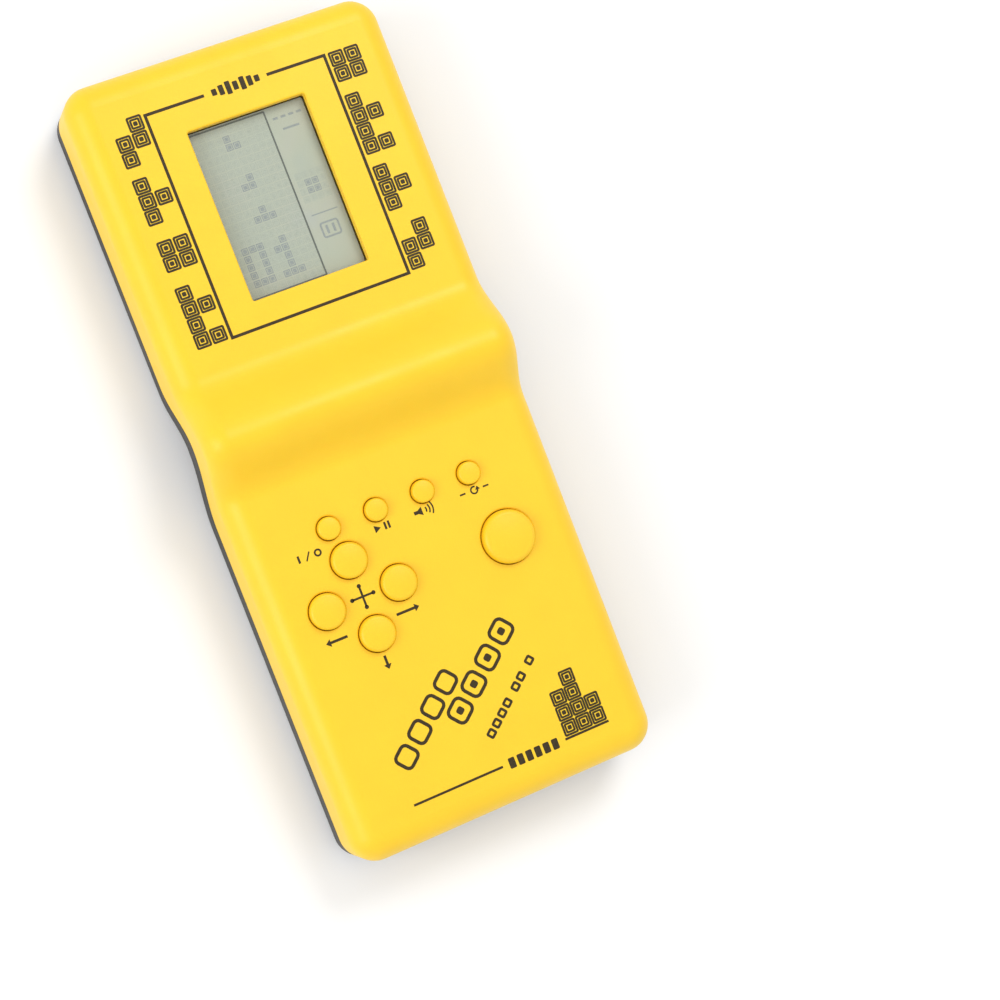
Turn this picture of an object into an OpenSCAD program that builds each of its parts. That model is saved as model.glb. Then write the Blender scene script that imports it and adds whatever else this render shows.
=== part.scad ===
// Handheld LCD game: two-piece case with a raised wave between screen and keys, nine keys,
// a display stack, a circuit board, a speaker and a two-cell battery bay with a sliding door.
// Origin: centre of the flat back. +X to the player's right, +Y towards the screen end, +Z out of the front.

/* [Case] */
// Width of the case
body_w = 76; // [75:0.5:78]
// Length of the case
body_l = 185; // [184:0.5:190]
// Height of the flat screen face above the back
screen_z = 25; // [24.8:0.1:26]
// Height of the wave's crest above the screen face
wave_h = 9.1; // [6:0.1:10]
// Radius of the case's corners, seen from the front
corner_r = 6.5; // [6.2:0.1:8]
// Rounding of the front shell's edge
front_edge_r = 6; // [5:0.5:7]
// Rounding of the rear shell's edge
rear_edge_r = 3; // [2.5:0.5:3.5]
// Height of the finger hollow across the back, under the wave
back_rise = 9.2; // [6:0.1:9.2]
// Wall thickness of the front shell
front_wall = 2.2; // [1.8:0.1:2.4]
// Wall thickness of the rear shell
rear_wall = 2; // [1.8:0.1:2]

/* [Screen] */
// Width of the display window
window_w = 28.4; // [26:0.2:30]
// Length of the display window
window_l = 40.2; // [38:0.2:42]
// Distance of the window's centre from the middle of the case
window_y = 54.8; // [53:0.1:56]

/* [Keys] */
// How far each key travels
key_travel = 1; // [0.5:0.1:1.2]
// Diameter of the four small keys
small_key_d = 5.2; // [4:0.1:6]
// Distance between the small keys
small_key_pitch = 11.6; // [11:0.1:12]
// Diameter of the four direction keys
arrow_key_d = 8.2; // [7:0.1:8.6]
// Distance of each direction key from the centre of their cross
arrow_key_offset = 8.8; // [8.6:0.1:9.2]
// Diameter of the large action key
action_key_d = 12.4; // [10:0.1:12.6]

/* [Battery bay] */
// Diameter of one cell
cell_d = 14.2; // [13.8:0.1:14.4]
// Length of one cell with its nub
cell_l = 50.5; // [49:0.1:50.5]

/* [Hidden] */
// Overlap of solids that are joined, and how far a cutter runs past what it cuts
eps = 0.01;
over = 1;
half_w = body_w / 2;
half_l = body_l / 2;

// The wave on the front face: it rises from the screen face, peaks and drops to the key face.
wave_start_y = 23;
wave_crest_y = 7.3;
wave_end_y = -6.6;
crest_z = screen_z + wave_h;
key_face_top_z = screen_z + 0.5;
key_face_end_z = screen_z - 1;

// The seam between the two shells: a smaller wave, and lower at the screen than at the keys.
seam_start_y = 25;
seam_crest_y = 9;
seam_end_y = -10;
seam_screen_z = 7.4;
seam_crest_z = 18.2;
seam_key_z = 8.4;
seam_foot_z = 8;

// The back rises here too, so that the case bends as one
back_start_y = 24;
back_crest_y = 9.5;
back_end_y = -9.5;

// How finely the case is divided
corner_steps = 8;
edge_steps = 6;
wave_steps_y = [for (y = [-13.5 : 1.5 : 27]) y];

// Inside heights
board_z = 14;
board_t = 1.2;
board_top = board_z + board_t;
board_half_w = 28.8;
board_low_y = -50.5;
board_high_y = 86;
mat_t = 1;
dome_h = 4;
pad_t = 0.06;

// Display stack, given by half widths and half lengths about the window's centre
lens_t = 1;
lens_gap = 0.05;
lens_half = [16.2, 22.2];
glass_t = 2;
glass_gap = 0.15;
glass_half = [17, 23.5];
front_sheet_half_l = 21.6;
gasket_t = 0.75;
gasket_half = [19.6, 25.6];
gasket_hole_half = [17.4, 23.4];
reflector_t = 0.2;
reflector_half = [15, 20.4];
holder_half = [20, 26];
holder_gap = 0.1;
holder_drop = 0.8;
holder_hole_half = [15.2, 23.4];
strip_half = [14.6, 1.2];
strip_offset = 22;
lens_top = screen_z - front_wall - lens_gap;
glass_top = lens_top - lens_t - glass_gap;
glass_low = glass_top - glass_t;

// Key places
small_row_y = -18.5;
arrow_x = -15.7;
arrow_y = -35.6;
action_x = 20.8;
action_y = -35.3;
hole_gap = 0.2;
flange_t = 1.2;
flange_rim = 0.6;
flange_gap = 0.35;
dome_rim = 0.4;
mat_gap = 0.05;

// Battery bay: two cells side by side across the case, closed by the door
bay_half_w = 28.45;
bay_low_y = -86.6;
bay_high_y = -57;
bay_wall = 1.5;
bay_ceiling = 17.5;
bay_top = bay_ceiling + 1.2;
bay_join = 0.5;
cell_z = 10.2;
cell_1_y = -64.6;
cell_2_y = -79;
nub_l = 1;
nub_d = 5.5;
contact_t = 0.4;
leaf_half = 5.5;
tab_half_w = 1.2;
tab_root_z = cell_z + 5.4;
tab_top_z = bay_top + 0.8;
tab_slot_half_w = 1.6;
tab_slot_gap = 0.3;
bridge_half_h = 2;
// Where the contact leaves meet the cells
plus_x = bay_half_w - 0.05 - contact_t;

// Battery door: slides out at the foot of the case
door_half_w = 27;
door_high_y = -55.2;
door_t = 1.9;
door_gap = 0.15;
rail_w = 1.3;
rail_low_z = 1;
rail_foot_y = -88;
rail_high_y = -58.2;
rail_gap = 0.1;
rail_end_gap = 0.3;
tongue_half_w = 4;
tongue_root_y = -58;
tongue_tip_y = -53.8;
tongue_top_z = 2.9;
tongue_t = 1.3;
notch_half_w = 4.5;
notch_top_z = 3.4;
floor_step_half_w = 5;
floor_step_y = -53;
floor_step_z = 2.1;
grip_half_w = 9;
grip_first_y = -64;
grip_w = 1;
grip_pitch = 2.2;
grip_depth = 0.5;
grip_count = 5;

// Screws, their bosses, and the deep holes that the case screws' heads sink into
shell_screw_at = [for (x = [-32.7, 32.7]) for (y = [77, -13, -80]) [x, y]];
board_screw_at = [for (x = [-25, 25]) for (y = [80, 22]) [x, y]];
front_boss_r = 2.6;
rear_boss_r = 3.5;
board_boss_r = 2.4;
boss_meet_z = 8;
boss_gap = 0.1;
shell_boss_drop = 1.9;
board_boss_drop = 1.5;
shell_pilot_r = 1.25;
shell_pilot_l = 9;
board_pilot_r = 1.05;
board_pilot_l = 6;
head_hole_r = 2.6;
head_seat_z = 6;
shank_hole_r = 1.4;
board_hole_r = 1.2;
// Each screw: [height of the head, radius of the head, radius of the shank, length of the shank]
shell_screw = [1.6, 2.4, 1.2, 10];
board_screw = [1.5, 2.2, 1, 6];
screw_slot_w = 0.5;
screw_slot_t = 1.2;

// Speaker
speaker_y = 60;
speaker_r = 14.5;
speaker_gap = 0.3;
speaker_top_z = 6.4;
speaker_wall = 1.2;
speaker_back_t = 1;
magnet_r = 7;
magnet_low_z = 5;
magnet_top_z = 9.4;
magnet_gap = 0.2;
speaker_ring_wall = 1.3;
speaker_ring_z = 7;
grille_hole_r = 0.9;
grille_pitch = 3.2;
grille_rings = 3;

// Where the leads pass through the board
wire_hole_r = 0.7;
speaker_lead_x = 5;
speaker_lead_y = 38;
minus_lead_x = 23.4;
plus_lead_x = 26.6;
battery_lead_y = -47.6;

// Small parts under the board, by their low and high corners or their middle
resonator_low = [-22, 40, board_z - 4.2];
resonator_high = [-14.5, 42.6, board_z];
capacitor_at = [-20, 30];
capacitor_r = 3.2;
capacitor_l = 11;
resistor_at = [10, 8];
resistor_pitch = 3.2;
resistor_r = 1.1;
resistor_l = 6;
transistor_at = [18, 34];
transistor_r = 2.4;
transistor_h = 4.6;
transistor_flat = 1.4;
chip_y = 54;
chip_cap_h = 1.6;
chip_cap_r = 12.2;

// Sheet that joins the domes, with the corner cut away for the battery leads
mat_low = [-27.6, -49];
mat_high = [28, -12.5];
mat_cut_low = [20, -50];
mat_cut_high = [30, -44];

// 0 to 1 along a half wave
function ease(u) = u <= 0 ? 0 : u >= 1 ? 1 : (1 - cos(180 * u)) / 2;

function wave(y, start_y, crest_y, end_y, start_z, top_z, end_z, foot_z) =
    y > crest_y ? start_z + (top_z - start_z) * ease((start_y - y) / (start_y - crest_y))
    : y > end_y ? top_z + (end_z - top_z) * ease((crest_y - y) / (crest_y - end_y))
    : end_z + (foot_z - end_z) * (end_y - y) / (end_y + half_l);

function front_z(y) =
    wave(y, wave_start_y, wave_crest_y, wave_end_y, screen_z, crest_z, key_face_top_z, key_face_end_z);

function seam_z(y) =
    wave(y, seam_start_y, seam_crest_y, seam_end_y, seam_screen_z, seam_crest_z, seam_key_z, seam_foot_z);

function back_z(y) = wave(y, back_start_y, back_crest_y, back_end_y, 0, back_rise, 0, 0);

// Right half of the case's outline, from the foot to the screen end, moved inwards by inset
function half_outline(inset) = let (r = corner_r - inset, cx = half_w - corner_r, cy = half_l - corner_r)
    concat(
        [for (i = [0 : corner_steps]) let (a = -90 + 90 * i / corner_steps) [cx + r * cos(a), -cy + r * sin(a)]],
        [for (y = wave_steps_y) [half_w - inset, y]],
        [for (i = [0 : corner_steps]) let (a = 90 * i / corner_steps) [cx + r * cos(a), cy + r * sin(a)]]
    );

function outline(inset) = let (half = half_outline(inset), n = len(half))
    concat(half, [for (i = [n - 1 : -1 : 0]) [-half[i][0], half[i][1]]]);

// A level is [inset, drop, kind]: kind 0 follows the back, 1 follows the seam, 2 follows the front face.
function level_z(level, y) = level[1] + (level[2] == 0 ? back_z(y) : level[2] == 1 ? seam_z(y) : front_z(y));
function level_ring(level) = [for (p = outline(level[0])) [p[0], p[1], level_z(level, p[1])]];

// A closed skin through the levels, lowest first. Its ends are closed by straight strips across the case.
module skin(levels) {
    rings = [for (level = levels) level_ring(level)];
    n = len(rings[0]);
    top = (len(levels) - 1) * n;
    points = [for (ring = rings) for (p = ring) p];
    walls = [
        for (k = [0 : len(levels) - 2])
        for (i = [0 : n - 1])
        let (a = k * n + i, b = k * n + (i + 1) % n)
        for (face = [[a, a + n, b], [b, a + n, b + n]]) face
    ];
    low_cap = [for (i = [0 : n / 2 - 2]) [n - 1 - i, i, i + 1, n - 2 - i]];
    high_cap = [for (i = [0 : n / 2 - 2]) [top + i, top + n - 1 - i, top + n - 2 - i, top + i + 1]];
    polyhedron(points, concat(walls, low_cap, high_cap), convexity = 6);
}

// Levels of a rounded front edge of radius r on an outline already moved inwards by inset
function front_edge(inset, r, drop) = [
    for (i = [0 : edge_steps]) let (a = 90 * i / edge_steps)
    [inset + r * (1 - cos(a)), -drop - r * (1 - sin(a)), 2]
];

function rear_edge(inset, r, floor_z) = [
    for (i = [edge_steps : -1 : 0]) let (a = 90 * i / edge_steps)
    [inset + r * (1 - cos(a)), floor_z + r * (1 - sin(a)), 0]
];

module front_block() {
    skin(concat([[0, 0, 1]], front_edge(0, front_edge_r, 0)));
}

module front_hollow() {
    skin(concat([[front_wall, -3, 1]], front_edge(front_wall, front_edge_r - front_wall, front_wall)));
}

module rear_block() {
    skin(concat(rear_edge(0, rear_edge_r, 0), [[0, 0, 1]]));
}

module rear_hollow() {
    skin(concat(rear_edge(rear_wall, rear_edge_r - rear_wall, rear_wall), [[rear_wall, 3, 1]]));
}

// A box given by its low and high corners
module box(low, high) {
    translate(low) cube(high - low);
}

module rod(x, y, low_z, high_z, r) {
    translate([x, y, low_z]) cylinder(h = high_z - low_z, r = r, $fn = 48);
}

// A plate centred behind the window, given by its half width and half length
module plate(half, low_z, high_z) {
    box([-half[0], window_y - half[1], low_z], [half[0], window_y + half[1], high_z]);
}

// Each key: [x, y, diameter of the cap, height of the cap above the face]
small_rise = 1.7;
arrow_rise = 2.1;
action_rise = 2.6;
function small_key(i) = [(i - 1.5) * small_key_pitch, small_row_y, small_key_d, small_rise];
function arrow_key(dx, dy) =
    [arrow_x + dx * arrow_key_offset, arrow_y + dy * arrow_key_offset, arrow_key_d, arrow_rise];
power_key = small_key(0);
start_key = small_key(1);
sound_key = small_key(2);
reset_key = small_key(3);
up_key = arrow_key(0, 1);
down_key = arrow_key(0, -1);
left_key = arrow_key(-1, 0);
right_key = arrow_key(1, 0);
action_key = [action_x, action_y, action_key_d, action_rise];
all_keys = [power_key, start_key, sound_key, reset_key, up_key, down_key, left_key, right_key, action_key];

module front_shell() {
    color("gold") difference() {
        union() {
            difference() {
                front_block();
                front_hollow();
            }
            for (p = shell_screw_at) rod(p[0], p[1], boss_meet_z, front_z(p[1]) - shell_boss_drop, front_boss_r);
            for (p = board_screw_at) rod(p[0], p[1], board_top, front_z(p[1]) - board_boss_drop, board_boss_r);
        }
        box([-window_w / 2, window_y - window_l / 2, screen_z - front_wall - over],
            [window_w / 2, window_y + window_l / 2, screen_z + over]);
        for (k = all_keys) rod(k[0], k[1], front_z(k[1]) - front_wall - over, crest_z, k[2] / 2 + hole_gap);
        for (p = shell_screw_at) rod(p[0], p[1], boss_meet_z - over, boss_meet_z + shell_pilot_l, shell_pilot_r);
        for (p = board_screw_at) rod(p[0], p[1], board_top - over, board_top + board_pilot_l, board_pilot_r);
    }
}

// Rings of small sound holes in front of the speaker
module speaker_grille() {
    rod(0, speaker_y, -over, rear_wall + over, grille_hole_r);
    for (ring = [1 : grille_rings]) {
        for (i = [0 : 6 * ring - 1]) {
            a = 60 * i / ring;
            r = grille_pitch * ring;
            rod(r * cos(a), speaker_y + r * sin(a), -over, rear_wall + over, grille_hole_r);
        }
    }
}

module battery_tub() {
    difference() {
        box([-bay_half_w - bay_wall, bay_low_y - bay_wall, rear_wall - bay_join],
            [bay_half_w + bay_wall, bay_high_y + bay_wall, bay_top]);
        box([-bay_half_w, bay_low_y, -over], [bay_half_w, bay_high_y, bay_ceiling]);
        // Slots that let the solder tabs of the contacts through the ceiling
        for (y = [cell_1_y, cell_2_y]) {
            box([plus_x - tab_slot_gap, y - tab_slot_half_w, bay_ceiling - over],
                [bay_half_w + tab_slot_gap, y + tab_slot_half_w, bay_top + over]);
        }
        // Notch for the door's tongue
        box([-notch_half_w, bay_high_y - over, 0], [notch_half_w, bay_high_y + bay_wall + over, notch_top_z]);
    }
}

module rear_shell() {
    color("#26262a") difference() {
        union() {
            difference() {
                rear_block();
                rear_hollow();
            }
            for (p = shell_screw_at) rod(p[0], p[1], rear_wall / 2, boss_meet_z - boss_gap, rear_boss_r);
            battery_tub();
            difference() {
                rod(0, speaker_y, rear_wall / 2, speaker_ring_z, speaker_r + speaker_gap + speaker_ring_wall);
                rod(0, speaker_y, rear_wall / 2, speaker_ring_z + over, speaker_r + speaker_gap);
            }
        }
        for (p = shell_screw_at) rod(p[0], p[1], -over, head_seat_z, head_hole_r);
        for (p = shell_screw_at) rod(p[0], p[1], head_seat_z - over, boss_meet_z + over, shank_hole_r);
        speaker_grille();
        // The door's opening runs out through the foot of the case, with a groove on each side for its rails.
        box([-door_half_w - door_gap, -half_l - over, -over],
            [door_half_w + door_gap, door_high_y + door_gap, door_t + door_gap]);
        box([-bay_half_w, -half_l - over, rail_low_z - rail_gap],
            [bay_half_w, rail_high_y + rail_end_gap, door_t + door_gap]);
    }
}

module battery_door() {
    color("#2c2c30") difference() {
        union() {
            intersection() {
                rear_block();
                box([-door_half_w, -half_l - over, -over], [door_half_w, door_high_y, door_t]);
            }
            for (side = [-1, 1]) {
                x = side * (door_half_w + rail_w / 2 - rail_gap);
                box([x - rail_w / 2, rail_foot_y, rail_low_z], [x + rail_w / 2, rail_high_y, door_t]);
            }
            box([-tongue_half_w, tongue_root_y, tongue_top_z - tongue_t],
                [tongue_half_w, tongue_tip_y, tongue_top_z]);
            // The tongue steps over the edge of the shell's floor, and its root joins the door.
            box([-tongue_half_w, tongue_root_y, rail_low_z], [tongue_half_w, door_high_y, door_t + rail_gap]);
        }
        box([-floor_step_half_w, door_high_y - eps, -over], [floor_step_half_w, floor_step_y, floor_step_z]);
        // Grip grooves for the thumb
        for (i = [0 : grip_count - 1]) {
            y = grip_first_y - i * grip_pitch;
            box([-grip_half_w, y, -over], [grip_half_w, y + grip_w, grip_depth]);
        }
    }
}

module display_lens() {
    color("#e8f4ff", 0.4) plate(lens_half, lens_top - lens_t, lens_top);
}

// Foam strip that keeps dust out between the lens and the display holder
module dust_gasket() {
    color("#303030") difference() {
        plate(gasket_half, lens_top - gasket_t, lens_top);
        plate(gasket_hole_half, lens_top - over, lens_top + over);
    }
}

module display_glass() {
    color("#b4b9a5") union() {
        plate(glass_half, glass_low, glass_low + glass_t / 2);
        // The front sheet is shorter, which leaves the ledges that the elastomer strips press on.
        plate([glass_half[0], front_sheet_half_l], glass_low + glass_t / 2 - eps, glass_top);
    }
}

module display_reflector() {
    color("silver") plate(reflector_half, glass_low - reflector_t, glass_low);
}

module display_holder() {
    color("white") difference() {
        plate(holder_half, board_top, lens_top - holder_drop);
        plate(glass_half + [holder_gap, holder_gap], glass_low - holder_gap / 2, screen_z);
        plate(holder_hole_half, board_top - over, screen_z);
    }
}

module elastomer_strips() {
    color("#d070a0") for (side = [-1, 1]) {
        y = window_y + side * strip_offset;
        box([-strip_half[0], y - strip_half[1], board_top], [strip_half[0], y + strip_half[1], glass_low]);
    }
}

module main_board() {
    color("#8a6a2a") difference() {
        box([-board_half_w, board_low_y, board_z], [board_half_w, board_high_y, board_top]);
        for (p = board_screw_at) rod(p[0], p[1], board_z - over, board_top + over, board_hole_r);
        for (x = [-speaker_lead_x, speaker_lead_x]) {
            rod(x, speaker_lead_y, board_z - over, board_top + over, wire_hole_r);
        }
        for (x = [minus_lead_x, plus_lead_x]) {
            rod(x, battery_lead_y, board_z - over, board_top + over, wire_hole_r);
        }
    }
}

// One printed carbon pad under each key
module contact_pads() {
    color("#202020") for (k = all_keys) rod(k[0], k[1], board_top, board_top + pad_t, k[2] / 4 + 0.3);
}

module chip_cover() {
    color("#101010") translate([0, chip_y, board_z]) intersection() {
        scale(0.5) sphere(r = 24, $fn = 64);
        translate([0, 0, -chip_cap_h]) cylinder(h = chip_cap_h, r = chip_cap_r, $fn = 64);
    }
}

module resonator() {
    color("orange") box(resonator_low, resonator_high);
}

module capacitor() {
    color("#203060") translate([capacitor_at[0], capacitor_at[1], board_z - capacitor_r]) rotate([0, 90, 0])
        cylinder(h = capacitor_l, r = capacitor_r, $fn = 48);
}

module resistors() {
    color("tan") for (i = [0 : 4]) {
        translate([resistor_at[0] + i * resistor_pitch, resistor_at[1], board_z - resistor_r]) rotate([90, 0, 0])
            cylinder(h = resistor_l, r = resistor_r, $fn = 32);
    }
}

module transistor() {
    x = transistor_at[0];
    y = transistor_at[1];
    color("#181818") intersection() {
        rod(x, y, board_z - transistor_h, board_z, transistor_r);
        box([x - 3, y - transistor_flat, board_z - 5], [x + 3, y + 3, board_z]);
    }
}

function dome_base_r(k) = k[2] / 2 + dome_rim;

module keypad_mat() {
    color("#d8d8d0") difference() {
        box(concat(mat_low, board_top), concat(mat_high, board_top + mat_t));
        for (k = all_keys) rod(k[0], k[1], board_top - over, board_top + mat_t + over, dome_base_r(k) + mat_gap);
        box(concat(mat_cut_low, board_top - over), concat(mat_cut_high, board_top + mat_t + over));
    }
}

// A hollow rubber dome that lifts one key. Its pill hangs one key travel above the contact pad.
module dome(k) {
    base = dome_base_r(k);
    tip = k[2] / 4 + 0.5;
    pill_r = tip - 0.9;
    pill_low = pad_t + key_travel;
    color("#d8d8d0") translate([k[0], k[1], board_top]) rotate_extrude($fn = 48) polygon([
        [base - 0.7, 0], [base, 0], [base, mat_t], [base - 0.4, mat_t], [tip + 0.2, dome_h - 0.6],
        [tip, dome_h], [0, dome_h], [0, pill_low], [pill_r, pill_low], [pill_r, dome_h - 1],
        [tip - 0.4, dome_h - 1], [base - 0.9, mat_t - 0.2]
    ]);
}

module dome_power() { dome(power_key); }
module dome_start() { dome(start_key); }
module dome_sound() { dome(sound_key); }
module dome_reset() { dome(reset_key); }
module dome_up() { dome(up_key); }
module dome_down() { dome(down_key); }
module dome_left() { dome(left_key); }
module dome_right() { dome(right_key); }
module dome_action() { dome(action_key); }

// Rounding and crown of a key cap, as shares of its radius
key_edge = 0.22;
key_crown = 0.07;

// A key cap: crowned top, straight stem in the shell's hole, flange behind it and a plunger on the dome
module key_cap(k) {
    r = k[2] / 2;
    face = front_z(k[1]);
    top = face + k[3];
    flange_top = face - front_wall - flange_gap;
    edge = r * key_edge;
    rise = r * key_crown;
    side_top = top - rise - edge;
    rounding = [for (i = [0 : 4]) let (a = 22.5 * i) [r - edge + edge * cos(a), side_top + edge * sin(a)]];
    crown = [
        for (i = [1 : 4])
        let (u = i / 4)
        [(r - edge) * (1 - u), side_top + edge + rise * (1 - (1 - u) * (1 - u))]
    ];
    color("gold") translate([k[0], k[1], 0]) rotate_extrude($fn = 64) polygon(concat(
        [[0, board_top + dome_h], [r * 0.5, board_top + dome_h], [r * 0.5, flange_top - flange_t],
         [r + flange_rim, flange_top - flange_t], [r + flange_rim, flange_top], [r, flange_top]],
        rounding, crown
    ));
}

module key_power() { key_cap(power_key); }
module key_start() { key_cap(start_key); }
module key_sound() { key_cap(sound_key); }
module key_reset() { key_cap(reset_key); }
module key_up() { key_cap(up_key); }
module key_down() { key_cap(down_key); }
module key_left() { key_cap(left_key); }
module key_right() { key_cap(right_key); }
module key_action() { key_cap(action_key); }

// A cell lying along X. Its nub points to +X where way is 1 and to -X where way is -1.
module cell(y, way) {
    translate([0, y, cell_z]) rotate([0, 90 * way, 0]) {
        translate([0, 0, plus_x - nub_l]) cylinder(h = nub_l, d = nub_d, $fn = 48);
        translate([0, 0, plus_x - cell_l]) cylinder(h = cell_l - nub_l, d = cell_d, $fn = 64);
    }
}

module battery_cell_1() { color("#3a7a4a") cell(cell_1_y, 1); }
module battery_cell_2() { color("#3a7a4a") cell(cell_2_y, -1); }

// A tube of radius r through the points of a path
function unit(v) = v / norm(v);
function tangent(path, i) = unit(path[min(i + 1, len(path) - 1)] - path[max(i - 1, 0)]);
module tube(path, r, sides, side_hint) {
    n = len(path);
    points = [
        for (i = [0 : n - 1])
        let (t = tangent(path, i), u = unit(cross(t, side_hint)), v = cross(t, u))
        for (j = [0 : sides - 1])
        let (a = 360 * j / sides)
        path[i] + r * (cos(a) * u + sin(a) * v)
    ];
    walls = [
        for (i = [0 : n - 2])
        for (j = [0 : sides - 1])
        let (a = i * sides + j, b = i * sides + (j + 1) % sides)
        for (face = [[a, a + sides, b], [b, a + sides, b + sides]]) face
    ];
    ends = [[for (j = [0 : sides - 1]) j], [for (j = [sides - 1 : -1 : 0]) (n - 1) * sides + j]];
    polyhedron(points, concat(walls, ends), convexity = 4);
}

// Smooth curve through hand-placed points
function curve_point(p, i, u) =
    let (a = p[max(i - 1, 0)], b = p[i], c = p[i + 1], d = p[min(i + 2, len(p) - 1)])
    0.5 * (2 * b + (c - a) * u + (2 * a - 5 * b + 4 * c - d) * u * u + (3 * b - a - 3 * c + d) * u * u * u);
function smooth_path(p, steps) = concat(
    [for (i = [0 : len(p) - 2]) for (s = [0 : steps - 1]) curve_point(p, i, s / steps)],
    [p[len(p) - 1]]
);

// A conical spring that presses on a cell's flat end, coiled about X
spring_low_r = 4.6;
spring_tip_r = 2.6;
spring_turns = 3.5;
spring_wire_r = 0.3;
spring_gap = 0.02;
spring_steps = 14;
spring_l = 2 * plus_x - cell_l;
module cell_spring(y, way) {
    steps = spring_steps * spring_turns;
    path = [
        for (i = [0 : steps])
        let (u = i / steps, a = 360 * spring_turns * u, r = spring_low_r + (spring_tip_r - spring_low_r) * u)
        [way * (plus_x - spring_wire_r / 2 - u * (spring_l - 1.5 * spring_wire_r - spring_gap)),
         y + r * cos(a), cell_z + r * sin(a)]
    ];
    tube(path, spring_wire_r, 6, [1, 0, 0]);
}

module contact_leaf(y, way) {
    low = way * plus_x;
    high = way * (plus_x + contact_t);
    box([min(low, high), y - leaf_half, cell_z - leaf_half], [max(low, high), y + leaf_half, cell_z + leaf_half]);
}

module solder_tab(y) {
    box([plus_x, y - tab_half_w, tab_root_z], [plus_x + contact_t, y + tab_half_w, tab_top_z]);
}

module contact_plus() {
    color("silver") union() {
        contact_leaf(cell_1_y, 1);
        solder_tab(cell_1_y);
    }
}

module contact_minus() {
    color("silver") union() {
        contact_leaf(cell_2_y, 1);
        solder_tab(cell_2_y);
        cell_spring(cell_2_y, 1);
    }
}

module contact_bridge() {
    color("silver") union() {
        contact_leaf(cell_1_y, -1);
        contact_leaf(cell_2_y, -1);
        box([-plus_x - contact_t, cell_2_y, cell_z - bridge_half_h], [-plus_x, cell_1_y, cell_z + bridge_half_h]);
        cell_spring(cell_1_y, -1);
    }
}

module speaker_frame() {
    color("#505055") difference() {
        rod(0, speaker_y, rear_wall + boss_gap, speaker_top_z, speaker_r);
        rod(0, speaker_y, rear_wall, speaker_top_z - speaker_back_t, speaker_r - speaker_wall);
        rod(0, speaker_y, magnet_low_z, speaker_ring_z, magnet_r + magnet_gap);
    }
}

module speaker_magnet() {
    color("#888890") rod(0, speaker_y, magnet_low_z, magnet_top_z, magnet_r);
}

module speaker_cone() {
    color("#d8c890") translate([0, speaker_y, 0]) rotate_extrude($fn = 64) polygon([
        [0, 3.2], [4, 3.2], [9, 2.6], [speaker_r - 1.4, 2.6], [speaker_r - 1.4, 2.9], [9, 2.9], [4.2, 4.9], [0, 4.9]
    ]);
}

// Leads: places chosen by hand along their real routes inside the case
wire_r = 0.55;
wire_lift = wire_r + 0.02;
module wire_plus() {
    color("red") tube(smooth_path([
        [26.9, cell_1_y, bay_top + wire_lift], [27.2, -61, 19.6], [27.1, -56, 20], [26.8, -51.5, 19.4],
        [26.7, -48.5, 17.5], [plus_lead_x, battery_lead_y, board_top + 0.3]
    ], 4), wire_r, 8, [1, 0.2, 0.1]);
}

module wire_minus() {
    color("#181818") tube(smooth_path([
        [26.9, cell_2_y, bay_top + wire_lift], [22, -77, 19.6], [19.5, -68, 20], [20.5, -57, 20.2],
        [23, -51.5, 19.4], [23.5, -48.5, 17.5], [minus_lead_x, battery_lead_y, board_top + 0.3]
    ], 4), wire_r, 8, [1, 0.2, 0.1]);
}

module speaker_wires() {
    color("#4060b0") for (side = [-1, 1]) {
        tube(smooth_path([
            [side * 4, speaker_y - 9.5, 7], [side * 5, 46, 8.4], [side * 5.6, 40.6, 9.2],
            [side * 5.2, 38.4, 11.5], [side * speaker_lead_x, speaker_lead_y, board_z]
        ], 4), wire_r, 8, [1, 0.1, 0.1]);
    }
}

module screw(x, y, head_low_z, size) {
    head_h = size[0];
    head_r = size[1];
    difference() {
        union() {
            rod(x, y, head_low_z, head_low_z + head_h, head_r);
            rod(x, y, head_low_z + head_h - eps, head_low_z + head_h + size[3], size[2]);
        }
        for (turn = [0, 90]) {
            translate([x, y, head_low_z]) rotate(turn)
                cube([head_r * 1.2, screw_slot_w, screw_slot_t], center = true);
        }
    }
}

module shell_screws() {
    color("silver") for (p = shell_screw_at) screw(p[0], p[1], head_seat_z - shell_screw[0], shell_screw);
}

module board_screws() {
    color("silver") for (p = board_screw_at) screw(p[0], p[1], board_z - board_screw[0], board_screw);
}

front_shell();
rear_shell();
battery_door();
display_lens();
dust_gasket();
display_glass();
display_reflector();
display_holder();
elastomer_strips();
main_board();
contact_pads();
chip_cover();
resonator();
capacitor();
resistors();
transistor();
keypad_mat();
dome_power();
dome_start();
dome_sound();
dome_reset();
dome_up();
dome_down();
dome_left();
dome_right();
dome_action();
key_power();
key_start();
key_sound();
key_reset();
key_up();
key_down();
key_left();
key_right();
key_action();
battery_cell_1();
battery_cell_2();
contact_plus();
contact_minus();
contact_bridge();
speaker_frame();
speaker_magnet();
speaker_cone();
speaker_wires();
wire_plus();
wire_minus();
shell_screws();
board_screws();
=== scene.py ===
"""Looks of the handheld LCD game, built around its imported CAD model.

Lengths are written in millimetres and turned into metres by MM. The frame is the part's own: +X to the
player's right, +Y towards the screen end, +Z out of the front face, and the flat back lies at z = 0.
"""
import math

import bmesh
import bpy
from mathutils import Matrix, Vector


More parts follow.
